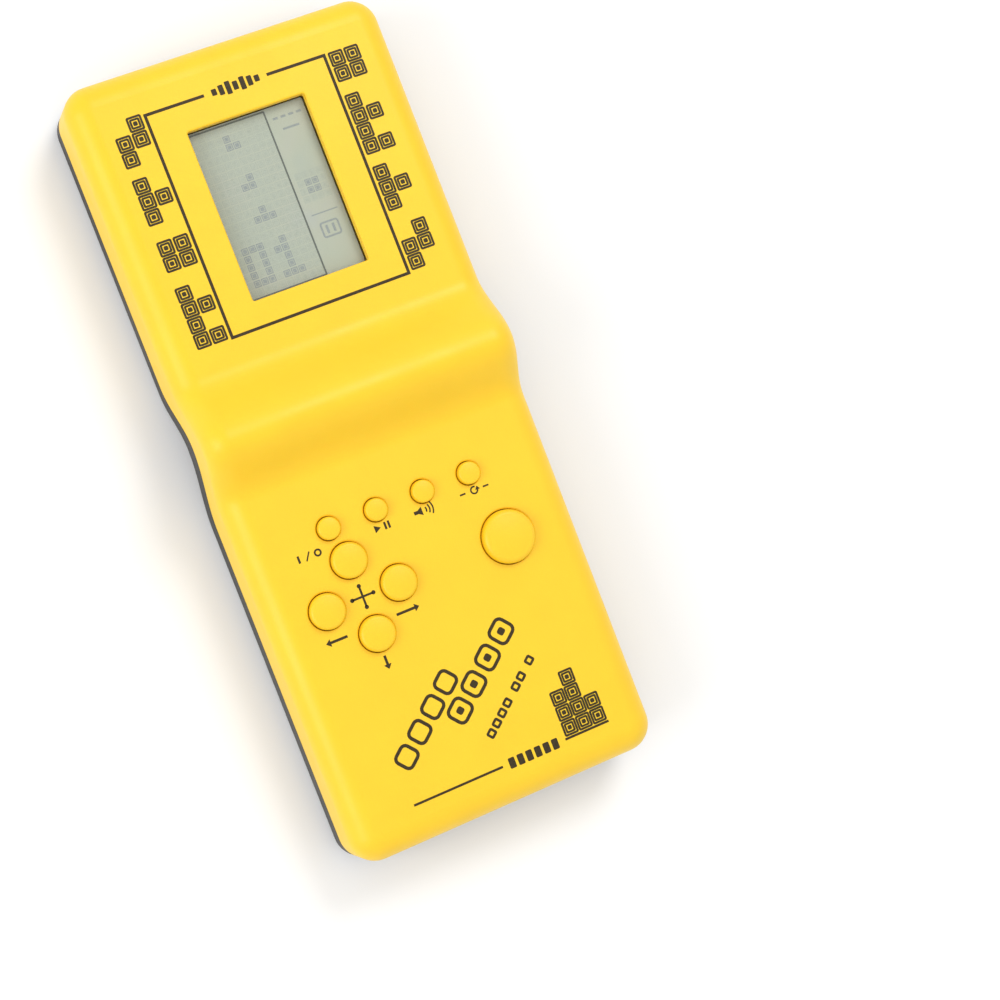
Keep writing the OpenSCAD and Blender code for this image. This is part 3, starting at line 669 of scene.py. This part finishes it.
def rear_shell():
    shell = solid("black_rear_shell", skin(rear_edge(0, REAR_EDGE_R, 0) + seam_edge(-1)))
    over_back = rear_edge(REAR_WALL, REAR_EDGE_R - REAR_WALL, REAR_WALL)
    combine(shell, [skin(over_back + [(REAR_WALL, lambda y: seam_z(y) + 3)])], "DIFFERENCE")
    tub = box((-BAY_HALF_W - BAY_WALL, BAY_LOW_Y - BAY_WALL, REAR_WALL - BAY_JOIN),
              (BAY_HALF_W + BAY_WALL, BAY_HIGH_Y + BAY_WALL, BAY_TOP))
    bosses = [rod(x, y, REAR_WALL / 2, BOSS_MEET_Z - BOSS_GAP, REAR_BOSS_R) for x, y in SHELL_SCREWS]
    cup_r = SPEAKER_R + SPEAKER_GAP
    ring = rod(0, SPEAKER_Y, REAR_WALL / 2, SPEAKER_RING_Z, cup_r + SPEAKER_RING_WALL, 96)
    combine(shell, [tub, *bosses, ring], "UNION")
    cup = rod(0, SPEAKER_Y, REAR_WALL, SPEAKER_RING_Z + OVER, cup_r, 96)
    screws = []
    for x, y in SHELL_SCREWS:
        screws.append(back_hole(x, y, HEAD_HOLE_R, HEAD_SEAT_Z))
        screws.append(rod(x, y, HEAD_SEAT_Z - OVER, BOSS_MEET_Z + OVER, SHANK_HOLE_R))
    combine(shell, [*bay_cutters(), cup, *screws], "DIFFERENCE")
    combine(shell, grille_holes(), "DIFFERENCE")
    place(shell, "case", BLACK, "black_case", "rear_shell")


def battery_door():
    door = solid("battery_door_panel", skin(rear_edge(0, REAR_EDGE_R, 0) + [(0, seam_z)]))
    long = DOOR_HIGH_Y + HALF_L + PAST_FOOT
    panel = slab(0, DOOR_HIGH_Y - long / 2, 2 * DOOR_HALF_W, long, 0.9,
                 [(-OVER, -DOOR_SOFT), (0, -DOOR_SOFT), (DOOR_SOFT, 0), (DOOR_T, 0)])
    combine(door, [panel], "INTERSECT")
    rails = [box((x - RAIL_HALF_W, RAIL_LOW_Y, RAIL_LOW_Z), (x + RAIL_HALF_W, RAIL_HIGH_Y, DOOR_T))
             for x in (-RAIL_X, RAIL_X)]
    tongue = slab(0, TONGUE_Y, TONGUE_W, TONGUE_L, 0.6,
                  [(DOOR_T - TONGUE_JOIN, 0), (TONGUE_TOP_Z - DOOR_SOFT, 0), (TONGUE_TOP_Z, -DOOR_SOFT)])
    combine(door, rails + [tongue], "UNION")
    # The tongue steps over the edge of the shell's floor
    under = box((-FLOOR_STEP_HALF_W, DOOR_HIGH_Y, -OVER), (FLOOR_STEP_HALF_W, FLOOR_STEP_Y, FLOOR_STEP_Z))
    depths = [(-OVER, 0.1), (0, 0.1), (GRIP_DEPTH, -0.12)]
    grips = [slab(0, GRIP_Y - i * GRIP_PITCH, GRIP_W, GRIP_L, 0.45, depths) for i in range(GRIP_COUNT)]
    way = [(-ARROW_HALF_W, ARROW_HIGH_Y), (0, ARROW_LOW_Y), (ARROW_HALF_W, ARROW_HIGH_Y)]
    arrow = loft([[(x, y, z) for x, y in way] for z in (-OVER, ARROW_DEPTH)])
    combine(door, [under, *grips, arrow], "DIFFERENCE")
    place(door, "door", BLACK, "black_case", "battery_door")


# ---------------------------------------------------------------- keys and domes

def key_cap(name):
    """Crowned cap with a soft edge, its stem, the flange behind the face and the plunger on the dome."""
    x, y, r, low, top = key_shape(name)
    edge = r * KEY_EDGE
    rise = r * KEY_CROWN
    side_top = top - rise - edge
    flange_top = front_z(y) - FRONT_WALL - FLANGE_GAP
    rounding = [(r - edge + edge * math.sin(a), side_top + edge * math.cos(a)) for a in reversed(quarter(10))]
    crown = []
    for i in range(1, 13):
        u = i / 12
        crown.append(((r - edge) * (1 - u), side_top + edge + rise * (1 - (1 - u) ** 2)))
    flange_low = flange_top - FLANGE_T
    profile = [(0, low), (r / 2, low), (r / 2, flange_low), (r + FLANGE_RIM, flange_low),
               (r + FLANGE_RIM, flange_top), (r, flange_top), *rounding, *crown]
    cap = solid(f"{name}_key_cap", lathe(x, y, profile, 96))
    place(cap, f"key_{name}_body", KEY_YELLOW, "yellow_key", f"key_{name}")


def dome(name):
    """Hollow rubber dome under its key."""
    x, y, r, _, _ = key_shape(name)
    height = span(f"dome_{name}")[1].z - BOARD_TOP
    base, tip = r + DOME_RIM, r / 2 + 0.5
    pill_r, pill_low, roof = tip - 0.9, PAD_T + KEY_TRAVEL, height - 1
    outer = [(base, 0), (base, MAT_T), (base - 0.4, MAT_T + 0.05), (tip + 0.5, roof),
             (tip + 0.15, height - 0.25), (tip - 0.15, height), (0, height)]
    inner = [(0, pill_low), (pill_r, pill_low), (pill_r, roof), (tip - 0.4, roof), (base - 0.9, MAT_T - 0.2),
             (base - DOME_SKIN, 0)]
    profile = [(p, BOARD_TOP + z) for p, z in inner + outer]
    made = solid(f"{name}_rubber_dome", lathe(x, y, profile, 64))
    place(made, "case", RUBBER, "rubber", f"dome_{name}")
    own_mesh(made)


# ---------------------------------------------------------------- printed graphics

class Print:
    """Flat shapes gathered into one thin piece that lies on a face whose height depends on y."""

    def __init__(self, height, sunk=0.02, proud=0.03):
        self.height, self.sunk, self.proud = height, sunk, proud
        self.verts, self.faces = [], []

    def add(self, loop):
        start = len(self.verts)
        self.verts += [(x, y, self.height(y) - self.sunk) for x, y in loop]
        self.verts += [(x, y, self.height(y) + self.proud) for x, y in loop]
        return start, len(loop)

    def fill(self, loop):
        """A solid shape inside an anticlockwise loop."""
        s, n = self.add(loop)
        self.faces.append(tuple(s + i for i in reversed(range(n))))
        self.faces.append(tuple(s + n + i for i in range(n)))
        self.faces += [(s + i, s + (i + 1) % n, s + n + (i + 1) % n, s + n + i) for i in range(n)]

    def ring(self, outer, inner):
        """The area between two loops with equal counts."""
        a, n = self.add(outer)
        b, _ = self.add(inner)
        for i in range(n):
            j = (i + 1) % n
            self.faces.append((a + n + i, a + n + j, b + n + j, b + n + i))
            self.faces.append((a + j, a + i, b + i, b + j))
            self.faces.append((a + i, a + j, a + n + j, a + n + i))
            self.faces.append((b + j, b + i, b + n + i, b + n + j))

    def bar(self, x0, y0, x1, y1, width):
        """A straight line of ink with square ends."""
        long = math.hypot(x1 - x0, y1 - y0)
        turn = math.atan2(y1 - y0, x1 - x0)
        self.fill(rounded((x0 + x1) / 2, (y0 + y1) / 2, long, width, width * 0.12, turn, 2))

    def disc(self, x, y, r):
        turn = [math.tau * i / 32 for i in range(32)]
        self.fill([(x + r * math.cos(a), y + r * math.sin(a)) for a in turn])

    def hoop(self, x, y, r, width):
        turn = [math.tau * i / 40 for i in range(40)]
        self.ring([(x + r * math.cos(a), y + r * math.sin(a)) for a in turn],
                  [(x + (r - width) * math.cos(a), y + (r - width) * math.sin(a)) for a in turn])

    def arc(self, x, y, r, width, start, end):
        """Part of a hoop, from start to end in degrees."""
        turn = [math.radians(start + (end - start) * i / 20) for i in range(21)]
        outer = [(x + r * math.cos(a), y + r * math.sin(a)) for a in turn]
        inner = [(x + (r - width) * math.cos(a), y + (r - width) * math.sin(a)) for a in reversed(turn)]
        self.fill(outer + inner)

    def frame_of(self, x, y, w, h, width, r, angle=0.0):
        """A rounded rectangle drawn as a line."""
        self.ring(rounded(x, y, w, h, r, angle, 4),
                  rounded(x, y, w - 2 * width, h - 2 * width, max(r - width, 0.08), angle, 4))

    def arrow(self, x, y, way, long, tall):
        """An arrow with a shaft; way is its direction in degrees."""
        head, half, shaft = tall * 0.62, tall / 2, tall * 0.17
        points = [(-long / 2, -shaft), (long / 2 - head, -shaft), (long / 2 - head, -half), (long / 2, 0),
                  (long / 2 - head, half), (long / 2 - head, shaft), (-long / 2, shaft)]
        c, s = math.cos(math.radians(way)), math.sin(math.radians(way))
        self.fill([(x + px * c - py * s, y + px * s + py * c) for px, py in points])

    def piece(self, name, material=None, slot=None):
        made = solid(name, (self.verts, self.faces))
        place(made, "case", material or INK, slot, weighted=False)


BLOCK = 3.55
BLOCK_PITCH = 3.65


def block(sheet, x, y, size=BLOCK):
    """One printed game block: two nested squares and a dot."""
    sheet.frame_of(x, y, size, size, size * 0.14, size * 0.13)
    sheet.frame_of(x, y, size * 0.66, size * 0.66, size * 0.13, size * 0.1)
    sheet.fill(rounded(x, y, size * 0.28, size * 0.28, size * 0.08))


INNER_X, OUTER_X = 24.35, 28.2
# Block groups beside the display: y of the first row, then the rows filled in the inner and the outer column
LEFT_GROUPS = [(80.4, (0, 1), (1, 2)), (66.9, (1,), (0, 1, 2)),
               (52.3, (0, 1), (0, 1)), (41.4, (1, 3), (0, 1, 2, 3))]
RIGHT_GROUPS = [(79.9, (0, 1), (0, 1)), (69.6, (0, 1, 2, 3), (1, 3)),
                (52.3, (0, 1, 2), (1,)), (38.0, (1, 2), (0, 1))]


def block_groups():
    for side, name, groups in ((-1, "left_blocks", LEFT_GROUPS), (1, "right_blocks", RIGHT_GROUPS)):
        sheet = Print(front_z)
        for top, inner, outer in groups:
            for column, rows in ((INNER_X, inner), (OUTER_X, outer)):
                for row in rows:
                    block(sheet, side * column, top - row * BLOCK_PITCH)
        sheet.piece(f"{name}_print")


LINE_HALF_W, LINE_LOW, LINE_HIGH, LINE_T = 21.7, 28.7, 81.4, 0.7
TITLE_GAP = 7.6


def frame_line():
    """The line round the display, broken at the top by a row of level bars."""
    sheet = Print(front_z)
    half = LINE_T / 2
    out_x, out_low, out_high = LINE_HALF_W + half, LINE_LOW - half, LINE_HIGH + half
    in_x, in_low, in_high = LINE_HALF_W - half, LINE_LOW + half, LINE_HIGH - half
    sheet.fill([(-TITLE_GAP, out_high), (-out_x, out_high), (-out_x, out_low), (out_x, out_low),
                (out_x, out_high), (TITLE_GAP, out_high), (TITLE_GAP, in_high), (in_x, in_high),
                (in_x, in_low), (-in_x, in_low), (-in_x, in_high), (-TITLE_GAP, in_high)])
    sheet.piece("display_frame_line")
    title = Print(front_z)
    for i, tall in enumerate((1.5, 2.3, 3.0, 2.0, 3.0, 2.3, 1.5)):
        title.fill(rounded((i - 3) * 1.72, LINE_HIGH, 1.2, tall, 0.2))
    title.piece("title_bars_print")


LABEL_Y = -22.6


def key_labels():
    """Plain signs under the small keys and by the direction keys."""
    sheet = Print(front_z)
    # On and off: a bar, a stroke and a ring
    sheet.bar(-26.2, LABEL_Y - 0.85, -26.2, LABEL_Y + 0.85, 0.5)
    sheet.bar(-24.6, LABEL_Y - 0.95, -23.4, LABEL_Y + 0.95, 0.32)
    sheet.hoop(-21.6, LABEL_Y, 0.9, 0.42)
    # Start and pause: a triangle and two bars
    sheet.fill([(-7.6, LABEL_Y - 0.85), (-6.1, LABEL_Y), (-7.6, LABEL_Y + 0.85)])
    for x in (-5.0, -4.1):
        sheet.bar(x, LABEL_Y - 0.85, x, LABEL_Y + 0.85, 0.5)
    # Sound: a horn and three waves
    sheet.fill([(2.2, LABEL_Y - 0.4), (3.2, LABEL_Y - 0.4), (4.2, LABEL_Y - 1.0), (4.2, LABEL_Y + 1.0),
                (3.2, LABEL_Y + 0.4), (2.2, LABEL_Y + 0.4)])
    for i in range(3):
        sheet.arc(4.2, LABEL_Y, 1.2 + i * 0.8, 0.34, -32, 32)
    # Reset: an open circle with an arrowhead between two dashes
    sheet.arc(17.3, LABEL_Y, 0.98, 0.36, 60, 360)
    sheet.fill([(17.55, LABEL_Y - 0.1), (18.75, LABEL_Y - 0.1), (18.15, LABEL_Y + 0.75)])
    for x in (14.4, 20.2):
        sheet.bar(x - 0.7, LABEL_Y, x + 0.7, LABEL_Y, 0.4)
    # Directions
    sheet.arrow(-24.8, -42.4, 180, 5.2, 1.8)
    sheet.arrow(-7.2, -42.2, 0, 5.6, 1.8)
    sheet.arrow(-16.0, -51.2, 270, 3.2, 1.8)
    sheet.piece("key_signs_print")


def cross_sign():
    """Four-way cross with round ends, in the middle of the direction keys."""
    x, y = middle("key_up").x, middle("key_left").y + 0.1
    sheet = Print(front_z)
    sheet.bar(x - 2.5, y, x + 2.5, y, 0.5)
    sheet.bar(x, y - 2.4, x, y - 0.25, 0.5)
    sheet.bar(x, y + 0.25, x, y + 2.4, 0.5)
    for dx, dy in ((2.6, 0), (-2.6, 0), (0, 2.5), (0, -2.5)):
        sheet.disc(x + dx, y + dy, 0.48)
    sheet.piece("direction_cross_print")


# The slanting rows climb towards the action key, each from its own start.
SLANT = math.radians(40)
LOWER_START, LOWER_PITCH = (-4.3, -67.7), 6.75
UPPER_START, UPPER_PITCH = (-19.6, -72.6), 6.3
DOT_START, DOT_PITCH = (0.6, -75.3), 2.6


def climb(start, along):
    """The point that lies along the slant from start."""
    return start[0] + along * math.cos(SLANT), start[1] + along * math.sin(SLANT)


def slanting_rows():
    """Rounded squares drawn as lines in two rows, and a row of small ones for what stood below them."""
    sheet = Print(front_z)
    for i in range(4):
        sheet.frame_of(*climb(LOWER_START, i * LOWER_PITCH), 5.6, 5.6, 0.8, 1.68, SLANT)
    for i in range(4):
        sheet.fill(rounded(*climb(LOWER_START, i * LOWER_PITCH), 1.7, 1.7, 0.5, SLANT))
    sheet.piece("slanting_squares_print")
    upper = Print(front_z)
    for i in range(4):
        upper.frame_of(*climb(UPPER_START, i * UPPER_PITCH), 5.2, 5.2, 0.8, 1.56, SLANT)
    upper.piece("upper_squares_print")
    dots = Print(front_z)
    for i in (0, 1, 2, 3, 4.6, 5.6, 7.2):
        dots.frame_of(*climb(DOT_START, i * DOT_PITCH), 2.1, 2.1, 0.6, 0.5, SLANT)
    dots.piece("slanting_dots_print")


FOOT_Y = -83.3


def foot_print():
    """The line at the foot, a row of small squares in its gap and a stack of blocks that stands on it."""
    sheet = Print(front_z)
    sheet.bar(-22.1, FOOT_Y, 0.2, FOOT_Y, 0.55)
    sheet.bar(16.2, FOOT_Y, 27.4, FOOT_Y, 0.55)
    for i in range(6):
        sheet.fill(rounded(2.6 + i * 2.2, FOOT_Y, 1.55, 2.5, 0.3))
    sheet.piece("foot_line_print")
    stack = Print(front_z)
    for row, columns in enumerate(((0, 1, 2), (0, 1, 2), (0, 1), (1,))):
        for column in columns:
            block(stack, 18.2 + column * BLOCK_PITCH, FOOT_Y + 2.2 + row * BLOCK_PITCH)
    stack.piece("block_stack_print")


# ---------------------------------------------------------------- the display

FIELD_LOW_X, FIELD_HIGH_X = -13.9, 4.35
FIELD_LOW_Y, FIELD_HIGH_Y = 35.4, 74.0
FIELD_COLUMNS, FIELD_ROWS = 10, 20
# Filled squares of the two digits, each three wide and five tall, as rows from the top
ZERO = ("111", "101", "101", "101", "111")
ONE = ("010", "110", "010", "010", "111")


def on_glass(_y):
    return GLASS_HIGH.z


def field_spot(column, row):
    """Centre of a playfield square. Row 0 is the lowest."""
    w = (FIELD_HIGH_X - FIELD_LOW_X) / FIELD_COLUMNS
    h = (FIELD_HIGH_Y - FIELD_LOW_Y) / FIELD_ROWS
    return FIELD_LOW_X + (column + 0.5) * w, FIELD_LOW_Y + (row + 0.5) * h


def lit_squares():
    """Playfield squares that are switched on: the two digits and two falling shapes."""
    squares = set()
    for start, digit in ((1, ZERO), (5, ONE)):
        for row, cells in enumerate(digit):
            squares |= {(start + column, 5 - row) for column, cell in enumerate(cells) if cell == "1"}
    squares |= {(4, 18), (4, 17), (5, 17)}
    squares |= {(4, 12), (5, 12), (5, 13), (4, 8), (5, 8), (6, 8), (5, 9)}
    return squares


def square(sheet, x, y, size):
    sheet.frame_of(x, y, size, size, size * 0.16, 0.1)
    sheet.fill(rounded(x, y, size * 0.54, size * 0.54, 0.08, 0, 1))


def display():
    y, wide, step_z = middle("display_glass").y, GLASS_HIGH.x * 2, GLASS_LOW.z + 0.9
    lower = slab(0, y, wide, GLASS_HIGH.y - GLASS_LOW.y, 0.3,
                 [(GLASS_LOW.z, 0), (step_z, 0), (GLASS_LOW.z + 1.0, -0.1)])
    panel = solid("display_panel", lower)
    upper = slab(0, y, wide, FRONT_SHEET_L, 0.3,
                 [(step_z, -0.05), (GLASS_HIGH.z - 0.1, 0), (GLASS_HIGH.z, -0.1)])
    combine(panel, [upper], "UNION")
    place(panel, "case", FILM, "display", "display_glass")
    lens = solid("display_window", slab(0, WINDOW_Y, LENS_HIGH.x * 2, LENS_HIGH.y - LENS_LOW.y, 1.0,
                 [(LENS_LOW.z, -0.1), (LENS_LOW.z + 0.1, 0), (LENS_HIGH.z - 0.1, 0), (LENS_HIGH.z, -0.1)]))
    place(lens, "case", WINDOW, "clear_window", "display_lens")

    # A dark ring under the window's edge: painted shade that darkens the window's recess, whose inner walls
    # lie in shade.
    recess_shade = Print(lambda _y: LENS_LOW.z - 0.04, 0, 0.03)
    recess_shade.ring(rounded(0, WINDOW_Y, 32, 44, 0.9), rounded(0, WINDOW_Y, 28.1, 39.9, 0.4))
    recess_shade.piece("window_recess_shade_print")

    line = display_mark("display_line", (0.1, 0.11, 0.09))
    faint = display_mark("display_faint", (0.44, 0.46, 0.39))
    soft = display_mark("display_soft", (0.3, 0.32, 0.32))
    edge = Print(on_glass, 0, 0.012)
    edge.bar(FIELD_HIGH_X + 0.2, FIELD_LOW_Y - 0.4, FIELD_HIGH_X + 0.2, FIELD_HIGH_Y + 0.4, 0.42)
    for y in (FIELD_LOW_Y - 0.3, FIELD_HIGH_Y + 0.3):
        edge.bar(FIELD_LOW_X - 0.2, y, FIELD_HIGH_X + 0.2, y, 0.42)
    edge.piece("display_field_line", line, "display")
    ghost, lit = Print(on_glass, 0, 0.008), Print(on_glass, 0, 0.01)
    on = lit_squares()
    for column in range(FIELD_COLUMNS):
        for row in range(FIELD_ROWS):
            square(lit if (column, row) in on else ghost, *field_spot(column, row), 1.62)
    # Next-shape box and small level marks in the side column
    for column in range(4):
        for row in range(4):
            square(lit if (column, row) in {(1, 1), (1, 2), (2, 2), (2, 1)} else ghost,
                   6.6 + column * 1.75, 52.4 + row * 1.85, 1.5)
    for i in range(4):
        lit.bar(6.0 + i * 1.9, 72.0, 7.2 + i * 1.9, 72.0, 0.55)
    lit.bar(7.4, 69.2, 11.4, 69.2, 0.5)
    lit.frame_of(9.4, 44.6, 4.6, 3.8, 0.45, 0.7)
    for x in (8.6, 10.2):
        lit.bar(x, 43.6, x, 45.6, 0.6)
    lit.bar(6.2, 48.6, 12.6, 48.6, 0.3)
    ghost.piece("display_faint_squares", faint, "display")
    lit.piece("display_lit_squares", soft, "display")


# ---------------------------------------------------------------- battery bay and the pieces inside

def turned(shape, y, z):
    """Lays a lathe's solid about Z down along X, through the point (0, y, z)."""
    verts, faces = shape
    return [(v[2], y + v[1], z - v[0]) for v in verts], faces


def cell(number, way):
    """A cell along X: wrapped can, bead, insulating ring and nub at the end that way points to."""
    node = f"battery_cell_{number}"
    low, high = span(node)
    y, z, r = (low.y + high.y) / 2, (low.z + high.z) / 2, (high.y - low.y) / 2
    tip = high.x if way > 0 else -low.x
    foot = low.x if way > 0 else -high.x

    def lay(name, profile, material, slot, *nodes):
        shape = turned(lathe(0, 0, profile, 72), y, z)
        if way < 0:
            shape = ([(-vx, vy, vz) for vx, vy, vz in shape[0]], [tuple(reversed(f)) for f in shape[1]])
        place(solid(name, shape), "case", material, slot, *nodes)

    wrap = [(0, foot + 0.4), (r - 1.4, foot + 0.4), (r - 1.2, foot), (r - 0.5, foot), (r, foot + 0.5),
            (r, tip - 2.4), (r - 0.3, tip - 2.1), (r - 0.3, tip - 1.8), (r - 0.1, tip - 1.5),
            (r - 0.5, tip - 1.05), (r - 1.6, tip - 1.05), (r - 1.8, tip - 1.3), (0, tip - 1.3)]
    lay(f"cell_{number}_can", wrap, CELL_WRAP, "cell_wrap", node)
    nub = [(0, tip - 1.3), (2.7, tip - 1.3), (2.7, tip - 0.3), (2.4, tip), (0, tip)]
    lay(f"cell_{number}_nub", nub, STEEL, "plated_steel")


# Material of each CAD node that is shown as it is
CARRIED = {
    "dust_gasket": rubber("gasket_foam", (0.03, 0.03, 0.03)),
    "display_reflector": metal("reflector_film", (0.75, 0.76, 0.74), 0.35, (9, 1, 1)),
    "display_holder": moulded("holder_plastic", (0.78, 0.78, 0.75), 0.45, 0.3, 0.01).material,
    "elastomer_strips": rubber("elastomer", (0.55, 0.25, 0.34)),
    "main_board": board(),
    "contact_pads": paper("printed_carbon", (0.02, 0.02, 0.02)),
    "chip_cover": glossy("chip_epoxy", (0.012, 0.012, 0.012), 0.22, 2.0),
    "resonator": glossy("resonator_glaze", (0.55, 0.24, 0.05)),
    "capacitor": glossy("capacitor_sleeve", (0.02, 0.05, 0.18)),
    "resistors": glossy("resistor_body", (0.5, 0.36, 0.2)),
    "transistor": moulded("transistor_body", (0.02, 0.02, 0.02), 0.5, 0.15, 0.01).material,
    "keypad_mat": RUBBER,
    "contact_plus": STEEL,
    "contact_minus": STEEL,
    "contact_bridge": STEEL,
    "speaker_frame": moulded("speaker_plastic", (0.07, 0.07, 0.08), 0.5, 0.2, 0.01).material,
    "speaker_magnet": metal("magnet_cup", (0.45, 0.45, 0.47), 0.35, (1, 1, 1)),
    "speaker_cone": paper("cone_paper", (0.42, 0.36, 0.2)),
    "speaker_wires": glossy("blue_insulation", (0.03, 0.09, 0.4)),
    "wire_plus": glossy("red_insulation", (0.5, 0.02, 0.015)),
    "wire_minus": glossy("black_insulation", (0.014, 0.014, 0.014)),
    "shell_screws": metal("screw_steel", (0.55, 0.55, 0.56), 0.3, (1, 1, 1)),
    "board_screws": STEEL,
}


def carried_nodes():
    for name, material in CARRIED.items():
        node = NODES[name]
        node.data.materials.clear()
        node.data.materials.append(material)


# ---------------------------------------------------------------- stage

def floor():
    size = 3000
    corners = [(-size, -size, 0), (size, -size, 0), (size, size, 0), (-size, size, 0)]
    made = solid("floor", (corners, [(0, 1, 2, 3)]))
    look = Look("floor_paper")
    tones = [(0.3, (0.9, 0.9, 0.9)), (0.7, (0.92, 0.92, 0.92))]
    look.link(look.ramp(look.noise(400, 2), tones), "Base Color")
    look.set(Roughness=0.9)
    made.data.materials.append(look.material)


def lamp(name, at, size, power):
    """A round lamp that points at the middle of the game."""
    light = bpy.data.lights.new(name, "AREA")
    light.shape = "DISK"
    light.size = size * MM
    light.energy = power
    made = bpy.data.objects.new(name, light)
    bpy.context.scene.collection.objects.link(made)
    made.location = Vector(at) * MM
    made.rotation_mode = "QUATERNION"
    made.rotation_quaternion = (Vector((0, 0, 10)) - Vector(at)).to_track_quat("-Z", "Y")


def lights():
    world = bpy.data.worlds.new("studio")
    world.use_nodes = True
    world.node_tree.nodes["Background"].inputs["Color"].default_value = (1, 1, 1, 1)
    world.node_tree.nodes["Background"].inputs["Strength"].default_value = 0.86
    bpy.context.scene.world = world
    lamp("key_light", (400, 470, 850), 420, 3.2)
    lamp("side_light", (-760, 20, 520), 600, 3.0)


def camera():
    """At the height and slant of the photograph's view, to the left of the game and looking across it."""
    at = Vector((-124.2, -8.7, SCREEN_Z + 513.7))
    target = Vector((22.2, -26.9, SCREEN_Z))
    up = Vector((0.359, 0.931, 0.069))
    forward = (target - at).normalized()
    right = forward.cross(up).normalized()
    above = right.cross(forward)
    data = bpy.data.cameras.new("camera")
    data.sensor_width = 36
    data.lens = 84.4
    data.clip_start, data.clip_end = 0.01, 20
    made = bpy.data.objects.new("camera", data)
    bpy.context.scene.collection.objects.link(made)
    made.matrix_world = Matrix.Translation(at * MM) @ Matrix((right, above, -forward)).transposed().to_4x4()
    bpy.context.scene.camera = made


# ---------------------------------------------------------------- everything together

camera()
lights()
floor()
front_shell()
rear_shell()
battery_door()
for key in KEYS:
    key_cap(key)
    dome(key)
block_groups()
frame_line()
key_labels()
cross_sign()
slanting_rows()
foot_print()
display()
cell(1, 1)
cell(2, -1)
carried_nodes()
bpy.context.scene.view_settings.view_transform = "Standard"
